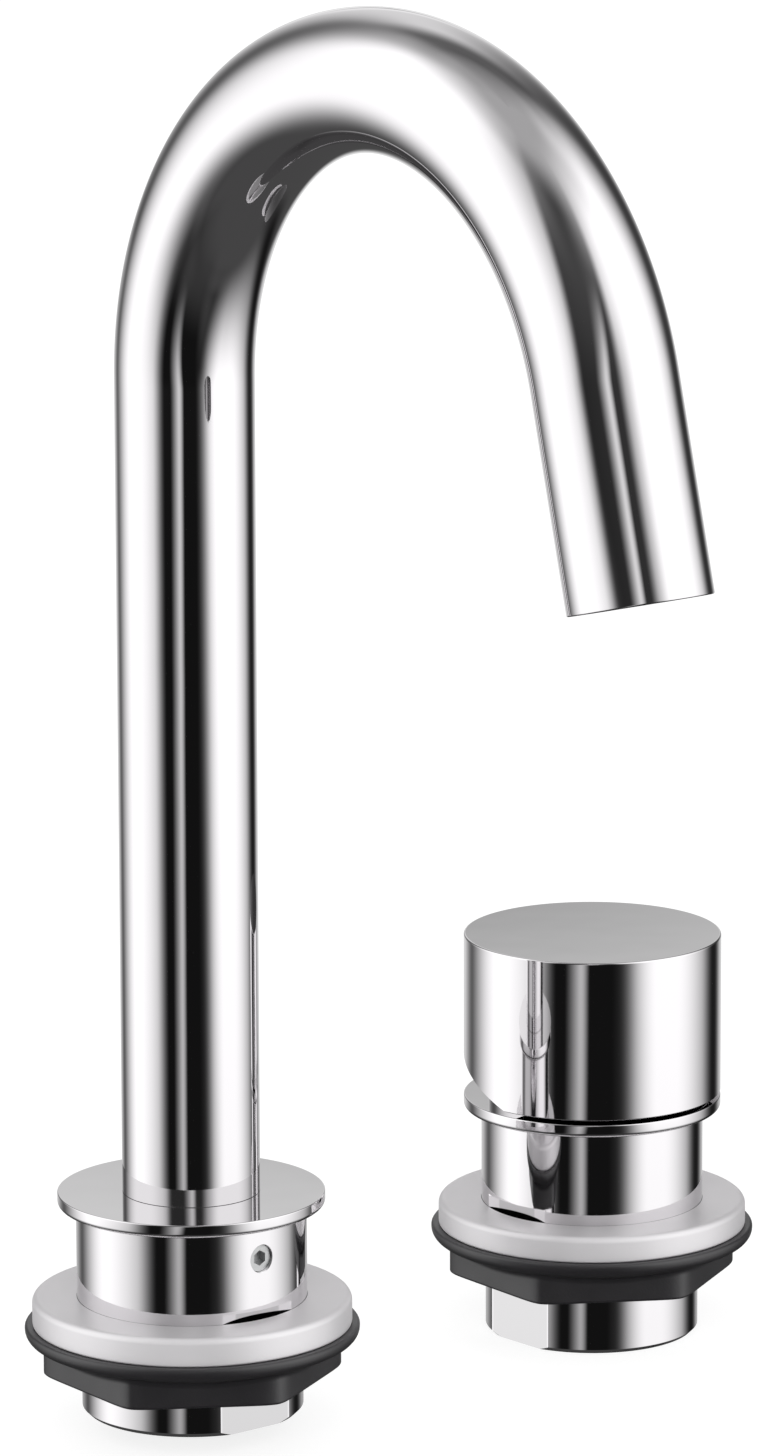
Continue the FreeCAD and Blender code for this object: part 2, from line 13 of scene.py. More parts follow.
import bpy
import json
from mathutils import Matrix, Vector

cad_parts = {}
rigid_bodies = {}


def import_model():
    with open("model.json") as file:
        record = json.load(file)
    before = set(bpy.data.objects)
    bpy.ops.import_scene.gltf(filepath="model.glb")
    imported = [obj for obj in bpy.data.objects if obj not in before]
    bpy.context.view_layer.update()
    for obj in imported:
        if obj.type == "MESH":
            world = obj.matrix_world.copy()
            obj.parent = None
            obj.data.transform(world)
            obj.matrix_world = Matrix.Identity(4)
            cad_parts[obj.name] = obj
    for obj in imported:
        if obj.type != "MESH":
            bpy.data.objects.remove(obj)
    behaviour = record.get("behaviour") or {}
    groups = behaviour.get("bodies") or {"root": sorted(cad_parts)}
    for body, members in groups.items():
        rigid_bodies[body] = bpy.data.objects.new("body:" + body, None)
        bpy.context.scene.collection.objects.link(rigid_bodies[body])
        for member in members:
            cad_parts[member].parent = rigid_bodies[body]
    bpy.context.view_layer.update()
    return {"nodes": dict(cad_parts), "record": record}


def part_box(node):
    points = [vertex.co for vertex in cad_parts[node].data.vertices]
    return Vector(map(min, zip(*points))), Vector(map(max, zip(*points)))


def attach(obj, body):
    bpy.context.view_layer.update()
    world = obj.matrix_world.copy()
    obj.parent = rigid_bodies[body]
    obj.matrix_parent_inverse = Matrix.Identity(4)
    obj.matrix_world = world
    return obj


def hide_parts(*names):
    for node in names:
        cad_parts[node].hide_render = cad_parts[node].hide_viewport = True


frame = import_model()

# %% Other modules and the scene's unit
import json
import math

import bmesh
import bpy
from mathutils import Matrix, Vector

MM = 0.001
scene = bpy.context.scene
print("Blender", bpy.app.version_string, "with", MM, "metres to the millimetre")

# %% [markdown]
# ## Sizes
#
# Every size is in millimetres and belongs to one feature of the real object. Where the frame
# already knows a size, it is read from the node's box, so the dressed pieces follow the frame.
# All other sizes stand in the cell of the piece that they belong to.

# %% Sizes read from the frame


def box_mm(node):
    """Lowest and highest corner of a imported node, in millimetres."""
    low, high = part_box(node)
    return low / MM, high / MM


spout_low, spout_high = box_mm("spout_body")
valve_low = box_mm("valve_body")[0]
washer_low, washer_high = box_mm("valve_clamp_washer")

valve_x = (washer_low.x + washer_high.x) / 2
flange_radius = (spout_high.x - spout_low.x) / 2
flange_top = spout_high.z
print("valve stands at x", round(valve_x, 2), "mm; flange radius", round(flange_radius, 2))

# %% [markdown]
# ## Three ways to make a mesh
#
# Almost everything on a tap is turned on a lathe, so the first tool revolves an outline of
# (radius, height, corner radius) points. It rounds each corner itself, because a real edge is
# never sharp: that small radius is what draws the thin bright line round a chrome flange.
# The second tool cuts holes and flats with a boolean, as a mill does. The third one gives a
# mesh smooth shading, keeps true corners sharp, and weights the normals by face area, so that
# flat faces stay perfectly flat in a reflection.

# %% Outline with rounded corners
CORNER_STEPS = 6


def rounded(outline):
    """Replace each corner of a closed outline by an arc of its own radius."""
    points = []
    count = len(outline)
    for i, (r, z, corner) in enumerate(outline):
        if corner <= 0:
            points.append((r, z))
            continue
        here = Vector((r, z))
        before = Vector(outline[i - 1][:2]) - here
        after = Vector(outline[(i + 1) % count][:2]) - here
        half = before.angle(after) / 2
        reach = corner / math.tan(half)
        inwards = (before.normalized() + after.normalized()).normalized()
        middle = here + inwards * corner / math.sin(half)
        start = here + before.normalized() * reach - middle
        end = here + after.normalized() * reach - middle
        sweep = start.angle_signed(end)
        for step in range(CORNER_STEPS + 1):
            arm = start.copy()
            arm.rotate(Matrix.Rotation(-sweep * step / CORNER_STEPS, 2))
            points.append(tuple(middle + arm))
    return points


print("corners are rounded with", CORNER_STEPS, "steps")

# %% Rings and their skin


def object_from(name, bm):
    """New object in the scene with the faces of a bmesh."""
    mesh = bpy.data.meshes.new(name)
    bm.to_mesh(mesh)
    bm.free()
    obj = bpy.data.objects.new(name, mesh)
    scene.collection.objects.link(obj)
    return obj


def join_rings(bm, first, second):
    """Faces between two rings of vertices, where one of them may be a single point."""
    count = max(len(first), len(second))
    if count == 1:
        return
    for step in range(count):
        after = (step + 1) % count
        corners = [first[step % len(first)], first[after % len(first)],
                   second[after % len(second)], second[step % len(second)]]
        bm.faces.new(list(dict.fromkeys(corners)))


def skinned(name, bm, rings):
    """Object whose skin runs from each ring to the next, and from the last to the first."""
    for i, ring in enumerate(rings):
        join_rings(bm, ring, rings[(i + 1) % len(rings)])
    bmesh.ops.recalc_face_normals(bm, faces=bm.faces)
    return object_from(name, bm)


# %% Lathe
TURN_STEPS = 288
ON_AXIS = 1e-6


def lathe(name, outline, x=0.0, y=0.0, steps=TURN_STEPS):
    """Turn a closed outline of (radius, height, corner radius) points about an upright axis."""
    bm = bmesh.new()
    rings = []
    for r, z in rounded(outline):
        if r < ON_AXIS:
            rings.append([bm.verts.new((x * MM, y * MM, z * MM))])
            continue
        ring = []
        for step in range(steps):
            angle = 2 * math.pi * step / steps
            across = (x + r * math.cos(angle)) * MM
            along = (y + r * math.sin(angle)) * MM
            ring.append(bm.verts.new((across, along, z * MM)))
        rings.append(ring)
    return skinned(name, bm, rings)


print("turned pieces have", TURN_STEPS, "sides")

# %% Cutting and smoothing
SHARP_ANGLE = math.radians(32)


def evaluated(obj):
    """Give an object its final mesh and drop its modifiers."""
    graph = bpy.context.evaluated_depsgraph_get()
    mesh = bpy.data.meshes.new_from_object(obj.evaluated_get(graph))
    old = obj.data
    obj.modifiers.clear()
    obj.data = mesh
    bpy.data.meshes.remove(old)
    return obj


def cut(obj, *tools):
    """Take the tools' shapes out of an object, as a mill or drill would."""
    for tool in tools:
        modifier = obj.modifiers.new("cut", "BOOLEAN")
        modifier.operation = "DIFFERENCE"
        modifier.solver = "EXACT"
        modifier.object = tool
    evaluated(obj)
    for tool in tools:
        bpy.data.objects.remove(tool)
    return obj


def smoothed(obj, angle=SHARP_ANGLE):
    """Smooth shading with sharp corners kept, and flat faces left flat."""
    mesh = obj.data
    mesh.shade_smooth()
    mesh.set_sharp_from_angle(angle=angle)
    modifier = obj.modifiers.new("flat faces stay flat", "WEIGHTED_NORMAL")
    modifier.keep_sharp = True
    modifier.weight = 100
    return evaluated(obj)


print("edges over", round(math.degrees(SHARP_ANGLE)), "degrees stay sharp")

# %% [markdown]
# ## The spout tube
#
# The real spout is drawn brass tube, bent on a mandrel and chrome plated. A curve with a bevel
# could make it, but a chain of rings gives exact roundness through the bend, a true wall, and a
# square cut end with a soft lip. Rings are close together in the bend, because there the mirror
# shows every flat facet, and far apart on the straight runs. The bore has fewer, because only
# its end can be seen. The unit stands turned a little on its hole, as somebody fitted it.

# %% Centre line of the tube
SPOUT_TURN = 3.6
TUBE_RADIUS = 12.5
BEND_RADIUS = 59.0
BEND_ANGLE = 165.4
OUTLET_STRAIGHT = 37.5

tube_low, tube_high = box_mm("spout_tube")
foot_top = tube_low.z
bend_start = tube_high.z - BEND_RADIUS - TUBE_RADIUS
bend_end_angle = math.radians(BEND_ANGLE)
riser_length = bend_start - foot_top
bend_length = BEND_RADIUS * bend_end_angle
tube_length = riser_length + bend_length + OUTLET_STRAIGHT


def centre_line(distance):
    """Point and direction of the tube's centre line, at a distance from the foot band."""
    if distance <= riser_length:
        return Vector((0, 0, foot_top + distance)), Vector((0, 0, 1))
    angle = min((distance - riser_length) / BEND_RADIUS, bend_end_angle)
    outwards = BEND_RADIUS * (1 - math.cos(angle))
    point = Vector((0, -outwards, bend_start + BEND_RADIUS * math.sin(angle)))
    way = Vector((0, -math.sin(angle), math.cos(angle)))
    return point + way * max(distance - riser_length - bend_length, 0.0), way


print("the tube is", round(tube_length, 1), "mm along its centre line")

# %% Tube
TUBE_WALL = 1.5
TUBE_EDGE = 0.3
AERATOR_STOP = (11.3, 13.3)
AERATOR_STOP_DEPTH = 1.6
BEND_STEPS = 220
BORE_STEPS = 60
# a ring this close to each end of a straight run keeps the run straight in a reflection
RING_GAP = 1.0

unit_turn = Matrix.Rotation(math.radians(-SPOUT_TURN), 4, "Z")


def tube_stations(steps):
    """Distances from the foot band at which the tube has a ring."""
    stations = [0.0, RING_GAP, riser_length / 2, riser_length - RING_GAP]
    for step in range(steps + 1):
        stations.append(riser_length + bend_length * step / steps)
    outlet_start = tube_length - OUTLET_STRAIGHT
    return stations + [outlet_start + RING_GAP, tube_length - OUTLET_STRAIGHT / 2]


def spout_tube():
    """Tube with an inner stop for the aerator, from rings along its centre line."""
    inner = TUBE_RADIUS - TUBE_WALL
    near, far = (tube_length - back for back in AERATOR_STOP)
    bore_end = far - RING_GAP
    wall = [(distance, TUBE_RADIUS, 0.0) for distance in tube_stations(BEND_STEPS)]
    wall += [(tube_length, TUBE_RADIUS, TUBE_EDGE), (tube_length, inner, TUBE_EDGE)]
    wall += [(near, inner, 0.0), (near, inner - AERATOR_STOP_DEPTH, 0.0)]
    wall += [(far, inner - AERATOR_STOP_DEPTH, 0.0), (far, inner, 0.0)]
    bore = [distance for distance in tube_stations(BORE_STEPS) if distance < bore_end]
    wall += [(distance, inner, 0.0) for distance in reversed(bore)]
    bm = bmesh.new()
    rings = []
    right = Vector((1, 0, 0))
    for distance, radius in rounded(wall):
        point, way = centre_line(distance)
        side = way.cross(right)
        ring = []
        for step in range(TURN_STEPS):
            angle = 2 * math.pi * step / TURN_STEPS
            spot = point + right * radius * math.cos(angle) + side * radius * math.sin(angle)
            ring.append(bm.verts.new(unit_turn @ (spot * MM)))
        rings.append(ring)
    return smoothed(skinned("spout_tube_bent", bm, rings))


tube = spout_tube()
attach(tube, "swivel_spout")
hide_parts("spout_tube")
print("tube:", len(tube.data.polygons), "faces")

# %% [markdown]
# ## The foot band under the tube
#
# A short turned band of the same diameter stands between tube and flange. On the real spout it
# is brazed into the tube, filed flush and plated over, so no line shows between the two, and
# the only joint is the hair of space at the flange, where the spout swivels. One outline gives
# the spigot in the tube, the band, and the journal that turns in the body.

# %% Turned ferrule
FOOT_GAP = 0.04
FOOT_EDGE = 0.06
JOURNAL_RADIUS = 10.0
FERRULE_BORE = 7.0
FERRULE_EDGE = 0.3
BRAZE_GAP = 0.03

ferrule_low, ferrule_high = box_mm("spout_ferrule")
spigot_radius = TUBE_RADIUS - TUBE_WALL - BRAZE_GAP
ferrule = lathe("spout_ferrule_turned", [
    (FERRULE_BORE, ferrule_low.z, 0.0),
    (JOURNAL_RADIUS, ferrule_low.z, FERRULE_EDGE),
    (JOURNAL_RADIUS, flange_top + FOOT_GAP, 0.0),
    (TUBE_RADIUS, flange_top + FOOT_GAP, FOOT_EDGE),
    (TUBE_RADIUS, foot_top, 0.0),
    (spigot_radius, foot_top, 0.0),
    (spigot_radius, ferrule_high.z, FERRULE_EDGE),
    (FERRULE_BORE, ferrule_high.z, 0.0),
])
smoothed(ferrule)
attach(ferrule, "swivel_spout")
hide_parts("spout_ferrule")
print("foot band from", round(flange_top + FOOT_GAP, 2), "to", round(foot_top, 2), "mm")

# %% [markdown]
# ## The two bodies
#
# Both bodies start from the same turned blank: a thin flange with a rounded lower rim, a neck
# that passes the basin, and a plain end below the nut. One side of each shank is milled flat,
# so that the unit can't turn in its clamp. The plain end is a little thinner than the neck, so
# the mill goes deeper there, and the flat stays as wide below the nut as above it. The hose
# ports have a real M10 x 1 thread, cut one groove per millimetre, because they are the only
# detail that shows from underneath.

# %% Outline of a shank
NECK_RADIUS = 20.95
PILOT_RADIUS = 20.15
PILOT_START = 1.2
SHANK_CHAMFER = 0.8
SHANK_EDGE = 0.1
FLANGE_RIM = 0.9
FLANGE_EDGE = 0.22
SEAL_WIDTH = 1.2
SEAL_HEIGHT = 1.3


def shank_side(shank_bottom, nut_bottom):
    """Outline of flange, seal groove, neck and plain end, from the top downwards."""
    pilot_top = nut_bottom + PILOT_START
    return [
        (flange_radius, flange_top, FLANGE_EDGE),
        (flange_radius, 0.0, FLANGE_RIM),
        (NECK_RADIUS + SEAL_WIDTH, 0.0, 0.0),
        (NECK_RADIUS + SEAL_WIDTH, SEAL_HEIGHT, 0.0),
        (NECK_RADIUS, SEAL_HEIGHT, 0.0),
        (NECK_RADIUS, pilot_top, 0.0),
        (PILOT_RADIUS, pilot_top, 0.0),
        (PILOT_RADIUS, shank_bottom + SHANK_CHAMFER, SHANK_EDGE),
        (PILOT_RADIUS - SHANK_CHAMFER, shank_bottom, SHANK_EDGE),
    ]


print("neck of", 2 * NECK_RADIUS, "mm, plain end of", 2 * PILOT_RADIUS, "mm")

# %% Threaded hose port
PORT_RADIUS = 4.5
PORT_DEPTH = 10.0
PORT_MOUTH = 0.6
PORT_PITCH = 1.0
PORT_THREAD = 0.45
THREAD_FLANK = 0.35 * PORT_PITCH


def port_wall(bottom):
    """Outline points of a threaded port, from its mouth up to its end."""
    wall = [(PORT_RADIUS + PORT_MOUTH, bottom, 0.0), (PORT_RADIUS, bottom + PORT_MOUTH, 0.0)]
    turns = int((PORT_DEPTH - 2 * PORT_PITCH) / PORT_PITCH)
    for turn in range(turns):
        foot = bottom + PORT_MOUTH + PORT_PITCH * (turn + 0.5)
        wall.append((PORT_RADIUS, foot, 0.0))
        wall.append((PORT_RADIUS + PORT_THREAD, foot + THREAD_FLANK, 0.0))
        wall.append((PORT_RADIUS, foot + 2 * THREAD_FLANK, 0.0))
    wall.append((PORT_RADIUS, bottom + PORT_DEPTH, 0.0))
    return wall


print("hose port with", sum(r > PORT_RADIUS for r, z, edge in port_wall(0.0)) - 1, "grooves")

# %% Milled flats
FLAT_DEPTH = 1.5
FLAT_START = 15.4
END_FLAT_DEPTH = 1.55
# how far a tool stands out past what it cuts
OVERRUN = 5.0


def solid_box(name, low, high, turn, x):
    """Block between two corners, turned about the upright axis of its unit."""
    bm = bmesh.new()
    bmesh.ops.create_cube(bm, size=1.0)
    size = Vector(high) - Vector(low)
    centre = (Vector(high) + Vector(low)) / 2
    bm.transform(Matrix.Diagonal((*(size * MM), 1.0)))
    bm.transform(Matrix.Translation(centre * MM))
    bm.transform(Matrix.Rotation(math.radians(turn), 4, "Z"))
    bm.transform(Matrix.Translation(Vector((x, 0.0, 0.0)) * MM))
    return object_from(name, bm)


def flat_tools(angle, shank_bottom, nut_bottom, x=0.0):
    """Two blocks that mill the flats of a neck and of its plain end."""
    flats = (("neck_mill", NECK_RADIUS - FLAT_DEPTH, -FLAT_START),
             ("end_mill", PILOT_RADIUS - END_FLAT_DEPTH, nut_bottom + PILOT_START))
    tools = []
    for name, plane, top in flats:
        low = (plane, -flange_radius, shank_bottom - OVERRUN)
        high = (flange_radius + OVERRUN, flange_radius, top)
        tools.append(solid_box(name, low, high, angle, x))
    return tools


print("flats start", FLAT_START, "mm under the deck")

# %% Spout body
HOLE_HEIGHT = -5.9
HOLE_RADIUS = 2.5
HOLE_MOUTH = 2.65
HOLE_START = 5.0
HOLE_OVERRUN = 3.0
HOLE_SIDES = 96
JOURNAL_PLAY = 0.05
END_PLAY = 0.4
MOUTH_EDGE = 0.15
SPOUT_WATER_BORE = 3.5
# a flat meets the round side at 22 degrees, and that edge has to stay sharp
MILLED_EDGE_ANGLE = math.radians(18)

bearing_radius = JOURNAL_RADIUS + JOURNAL_PLAY
bearing_bottom = ferrule_low.z - END_PLAY
spout_front = -90.0 - SPOUT_TURN


def laid(obj, angle, height, x=0.0):
    """Lay a tool built along +Z so that it points outwards at an angle and height."""
    obj.data.transform(Matrix.Rotation(math.radians(90), 4, "Y"))
    obj.data.transform(Matrix.Rotation(math.radians(angle), 4, "Z"))
    obj.data.transform(Matrix.Translation(Vector((x, 0.0, height)) * MM))
    return obj


spout_nut_low = box_mm("spout_back_nut")[0]
spout_body = lathe("spout_body_turned",
                   [(bearing_radius, flange_top, MOUTH_EDGE)]
                   + shank_side(spout_low.z, spout_nut_low.z)
                   + port_wall(spout_low.z)
                   + [(SPOUT_WATER_BORE, spout_low.z + PORT_DEPTH, 0.0),
                      (SPOUT_WATER_BORE, bearing_bottom, 0.0),
                      (bearing_radius, bearing_bottom, 0.0)])
screw_drill = lathe("screw_drill", [
    (0.0, HOLE_START, 0.0),
    (HOLE_RADIUS, HOLE_START, 0.0),
    (HOLE_RADIUS, NECK_RADIUS - (HOLE_MOUTH - HOLE_RADIUS), 0.0),
    (HOLE_MOUTH + HOLE_OVERRUN, NECK_RADIUS + HOLE_OVERRUN, 0.0),
    (0.0, NECK_RADIUS + HOLE_OVERRUN, 0.0),
], steps=HOLE_SIDES)
laid(screw_drill, spout_front, HOLE_HEIGHT)
cut(spout_body, *flat_tools(spout_front, spout_low.z, spout_nut_low.z), screw_drill)
smoothed(spout_body, MILLED_EDGE_ANGLE)
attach(spout_body, "deck_units")
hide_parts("spout_body")
print("spout body:", len(spout_body.data.polygons), "faces")

# %% Valve body
CAVITY_RADIUS = 17.6
CAVITY_DEPTH = 22.5
PORT_ANGLES = (90.0, 210.0, 330.0)
PORT_CIRCLE = 7.5
PORT_OVERRUN = 2.0
VALVE_WATER_BORE = 2.5
VALVE_FLAT_ANGLE = 180.0
DRILL_SIDES = 64

valve_nut_low, valve_nut_high = box_mm("valve_back_nut")
cavity_floor = flange_top - CAVITY_DEPTH
valve_body = lathe("valve_body_turned",
                   [(CAVITY_RADIUS, flange_top, MOUTH_EDGE)]
                   + shank_side(valve_low.z, valve_nut_low.z)
                   + [(0.0, valve_low.z, 0.0),
                      (0.0, cavity_floor, 0.0),
                      (CAVITY_RADIUS, cavity_floor, 0.0)],
                   x=valve_x)
drill_start = valve_low.z - PORT_OVERRUN
port_outline = [(0.0, drill_start, 0.0), (PORT_RADIUS + PORT_MOUTH + PORT_OVERRUN, drill_start, 0.0)]
port_outline += port_wall(valve_low.z)
port_outline += [(VALVE_WATER_BORE, valve_low.z + PORT_DEPTH, 0.0),
                 (VALVE_WATER_BORE, flange_top, 0.0),
                 (0.0, flange_top, 0.0)]
port_drills = []
for port_angle in PORT_ANGLES:
    port_x = valve_x + PORT_CIRCLE * math.cos(math.radians(port_angle))
    port_y = PORT_CIRCLE * math.sin(math.radians(port_angle))
    port_drills.append(lathe("port_drill", port_outline, port_x, port_y, steps=DRILL_SIDES))
cut(valve_body, *flat_tools(VALVE_FLAT_ANGLE, valve_low.z, valve_nut_low.z, valve_x), *port_drills)
smoothed(valve_body, MILLED_EDGE_ANGLE)
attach(valve_body, "deck_units")
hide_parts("valve_body")
print("valve body:", len(valve_body.data.polygons), "faces with", len(port_drills), "ports")

# %% [markdown]
# ## The knob
#
# The knob is a plain cup turned from brass: a flat top with a crisp edge, straight sides, and a
# slanted cut under its back, which gives it room to tilt. A boss inside holds the insert that
# grips the spindle, and a key reaches the grub screw through the hole at the back. The cap
# below it hides the cartridge nut, and shows only through the slanted cut.

# %% Turned knob
KNOB_WALL = 2.2
KNOB_TOP_WALL = 2.5
KNOB_EDGE = 0.35
KNOB_RIM_EDGE = 0.2
KNOB_INNER_EDGE = 0.5
BOSS_RADIUS = 12.03
BOSS_BORE = 9.03
BOSS_LENGTH = 13.0
BOSS_EDGE = 0.3
BOSS_MOUTH_EDGE = 0.2

knob_low, knob_high = box_mm("knob_shell")
knob_radius = (knob_high.x - knob_low.x) / 2
knob_ceiling = knob_high.z - KNOB_TOP_WALL
knob = lathe("knob_shell_turned", [
    (0.0, knob_high.z, 0.0),
    (knob_radius, knob_high.z, KNOB_EDGE),
    (knob_radius, knob_low.z, KNOB_RIM_EDGE),
    (knob_radius - KNOB_WALL, knob_low.z, KNOB_RIM_EDGE),
    (knob_radius - KNOB_WALL, knob_ceiling, KNOB_INNER_EDGE),
    (BOSS_RADIUS, knob_ceiling, KNOB_INNER_EDGE),
    (BOSS_RADIUS, knob_ceiling - BOSS_LENGTH, BOSS_EDGE),
    (BOSS_BORE, knob_ceiling - BOSS_LENGTH, BOSS_MOUTH_EDGE),
    (BOSS_BORE, knob_ceiling, 0.0),
    (0.0, knob_ceiling, 0.0),
], x=valve_x)
print("knob of radius", round(knob_radius, 2), "mm")

# %% Slanted cut and screw holes of the knob
UNDERCUT_ANGLE = 21.0
UNDERCUT_START = 2.0
SET_SCREW_HEIGHT = 23.0
SET_SCREW_RADIUS = 2.0
SCREW_WAY_GAP = 2.0
KEY_HOLE_RADIUS = 2.5
KEY_WAY_GAP = 1.5


def undercut_tool():
    """Wedge that slants the knob's underside up towards its back."""
    reach = knob_radius + OVERRUN
    rise = (reach + UNDERCUT_START) * math.tan(math.radians(UNDERCUT_ANGLE))
    side = [(-UNDERCUT_START, knob_low.z), (reach, knob_low.z + rise),
            (reach, knob_low.z - OVERRUN), (-UNDERCUT_START, knob_low.z - OVERRUN)]
    bm = bmesh.new()
    left = [bm.verts.new(Vector((valve_x - reach, y, z)) * MM) for y, z in side]
    right = [bm.verts.new(Vector((valve_x + reach, y, z)) * MM) for y, z in side]
    bm.faces.new(left)
    bm.faces.new(right)
    join_rings(bm, left, right)
    bmesh.ops.recalc_face_normals(bm, faces=bm.faces)
    return object_from("undercut_tool", bm)


def radial_drill(name, radius, start, end):
    """Drill that comes in from the knob's back at the grub screw's height."""
    outline = [(0.0, start, 0.0), (radius, start, 0.0), (radius, end, 0.0), (0.0, end, 0.0)]
    return laid(lathe(name, outline, steps=DRILL_SIDES), 90.0, SET_SCREW_HEIGHT, valve_x)


screw_way = radial_drill("screw_way", SET_SCREW_RADIUS, BOSS_BORE / 2,
                         knob_radius - KNOB_WALL - SCREW_WAY_GAP)
key_way = radial_drill("key_way", KEY_HOLE_RADIUS, BOSS_RADIUS + KEY_WAY_GAP, knob_radius + OVERRUN)
cut(knob, undercut_tool(), screw_way, key_way)
smoothed(knob)
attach(knob, "tilting_knob")
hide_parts("knob_shell")
print("knob:", len(knob.data.polygons), "faces")

# %% Cover cap
CAP_WALL = 0.8
CAP_EDGE = 3.0
CAP_MOUTH = 11.0

cap_low, cap_high = box_mm("cover_cap")
cap_radius = (cap_high.x - cap_low.x) / 2
cap = lathe("cover_cap_pressed", [
    (cap_radius - CAP_WALL, flange_top, 0.0),
    (cap_radius, flange_top, 0.0),
    (cap_radius, cap_high.z, CAP_EDGE),
    (CAP_MOUTH, cap_high.z, MOUTH_EDGE),
    (CAP_MOUTH, cap_high.z - CAP_WALL, 0.0),
    (cap_radius - CAP_WALL, cap_high.z - CAP_WALL, CAP_EDGE - CAP_WALL),
], x=valve_x)
smoothed(cap)
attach(cap, "deck_units")
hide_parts("cover_cap")
print("cap:", len(cap.data.polygons), "faces")

# %% [markdown]
# ## Clamp washers and back nuts
#
# Under the deck, a thick satin washer and a black moulded nut clamp each unit. The washer is a
# turned disc with soft edges. The nut is a round flange that runs over a cone into a hexagon
# whose corners are turned off. It could be cut from bars with booleans, but moulded plastic has
# soft blends everywhere, so each angle gets its own rounded profile and neighbours are joined.
# The photo shows the spout's nut a little lower than the valve's, so its washer reaches lower.

# %% Clamp washers
WASHER_HOLE_GAP = 0.02
WASHER_HOLE_EDGE = 0.03
WASHER_EDGE = 1.2
WASHER_FOOT_EDGE = 0.4
SPOUT_CLAMP_DROP = 0.35

washer_radius = (washer_high.x - washer_low.x) / 2


def clamp_washer(name, node, x, drop=0.0):
    """Turned washer in the place of a node, whose foot may reach lower."""
    low, high = box_mm(node)
    washer = lathe(name, [
        (NECK_RADIUS + WASHER_HOLE_GAP, low.z - drop, WASHER_HOLE_EDGE),
        (washer_radius, low.z - drop, WASHER_FOOT_EDGE),
        (washer_radius, high.z, WASHER_EDGE),
        (NECK_RADIUS + WASHER_HOLE_GAP, high.z, WASHER_HOLE_EDGE),
    ], x=x)
    smoothed(washer)
    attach(washer, "deck_units")
    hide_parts(node)
    return washer


washers = [
    clamp_washer("spout_washer_turned", "spout_clamp_washer", 0.0, SPOUT_CLAMP_DROP),
    clamp_washer("valve_washer_turned", "valve_clamp_washer", valve_x),
]
print("washers of radius", round(washer_radius, 2), "mm")

# %% Outline of a nut's hexagon
NUT_FLATS = 48.5
NUT_CORNER_RADIUS = 27.35
NUT_BLEND = 2.0


def grip_radius(angle, turn):
    """Radius of the nut's hexagon at an angle, with its turned corners melting into the flats."""
    from_middle = math.radians((angle - turn) % 60 - 30)
    flat = NUT_FLATS / 2 / math.cos(from_middle)
    weights = math.exp(-NUT_BLEND * flat) + math.exp(-NUT_BLEND * NUT_CORNER_RADIUS)
    return -math.log(weights) / NUT_BLEND


print("hexagon from", round(grip_radius(30.0, 0.0), 2), "to", round(grip_radius(0.0, 0.0), 2), "mm")

# %% Back nuts
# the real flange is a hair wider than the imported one
NUT_FLANGE_GROWTH = 0.2
NUT_RIM = 2.2
NUT_FLANGE = 4.5
NUT_EDGE = 0.6
NUT_BORE_EDGE = 0.2
NUT_RIM_BLEND = 2.0
NUT_CONE_BLEND = 1.5
NUT_THREAD_GAP = 0.1
NUT_THREAD_CHAMFER = 0.6
SPOUT_NUT_TURN = 24.5
VALVE_NUT_TURN = 25.5

nut_flange_radius = (valve_nut_high.x - valve_nut_low.x) / 2 + NUT_FLANGE_GROWTH


def back_nut(name, node, x, turn, drop=0.0):
    """Moulded nut in the place of a node, from one rounded profile per angle."""
    node_low, node_high = box_mm(node)
    low = node_low.z - drop
    high = node_high.z - drop
    bore = NECK_RADIUS + NUT_THREAD_GAP
    slope = (NUT_FLANGE - NUT_RIM) / (nut_flange_radius - NUT_FLATS / 2)
    bm = bmesh.new()
    profiles = []
    for step in range(TURN_STEPS):
        angle = 360 * step / TURN_STEPS
        grip = grip_radius(angle, turn)
        profile = rounded([
            (bore, high, NUT_BORE_EDGE),
            (nut_flange_radius, high, NUT_EDGE),
            (nut_flange_radius, high - NUT_RIM, NUT_RIM_BLEND),
            (grip, high - NUT_RIM - slope * (nut_flange_radius - grip), NUT_CONE_BLEND),
            (grip, low, NUT_EDGE),
            (bore + NUT_THREAD_CHAMFER, low, 0.0),
            (bore, low + NUT_THREAD_CHAMFER, 0.0),
        ])
        across = math.cos(math.radians(angle))
        along = math.sin(math.radians(angle))
        profiles.append([bm.verts.new(Vector((x + r * across, r * along, z)) * MM) for r, z in profile])
    nut = smoothed(skinned(name, bm, profiles))
    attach(nut, "deck_units")
    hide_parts(node)
    return nut


nuts = [
    back_nut("spout_nut_moulded", "spout_back_nut", 0.0, SPOUT_NUT_TURN, SPOUT_CLAMP_DROP),
    back_nut("valve_nut_moulded", "valve_back_nut", valve_x, VALVE_NUT_TURN),
]
print("nuts:", [len(nut.data.polygons) for nut in nuts], "faces")

# %% [markdown]
# ## Finishes
#
# Each finish is named for what it really is. Colours are written as sRGB hex values, as a paint
# chart gives them, and one function turns them to the linear numbers that the shader works
# with. One other function adds a node with its settings and links; the rest is plain wiring.
# Patterns use object coordinates, which are metres here, so a pattern's scale is one divided
# by its real spacing. All finishes end alike, in a colour, a gloss that follows one pattern and
# a relief that follows another, so one function writes that end for each of them. Noise seldom
# leaves the range from 0.3 to 0.7, so that is the range that is stretched over the gloss.

# %% Colour and node helpers
NOISE_LOW = 0.3
NOISE_HIGH = 0.7
finishes = {}


def linear(code):
    """Linear colour of an sRGB hex value such as 'E7E8EA'."""
    channels = [int(code[i:i + 2], 16) / 255 for i in (0, 2, 4)]
    return tuple(c / 12.92 if c <= 0.04045 else ((c + 0.055) / 1.055) ** 2.4 for c in channels) + (1.0,)


def socket(sockets, name):
    """The live socket of that name, because some nodes keep unused ones beside it."""
    return next(s for s in sockets if s.name == name and s.enabled)


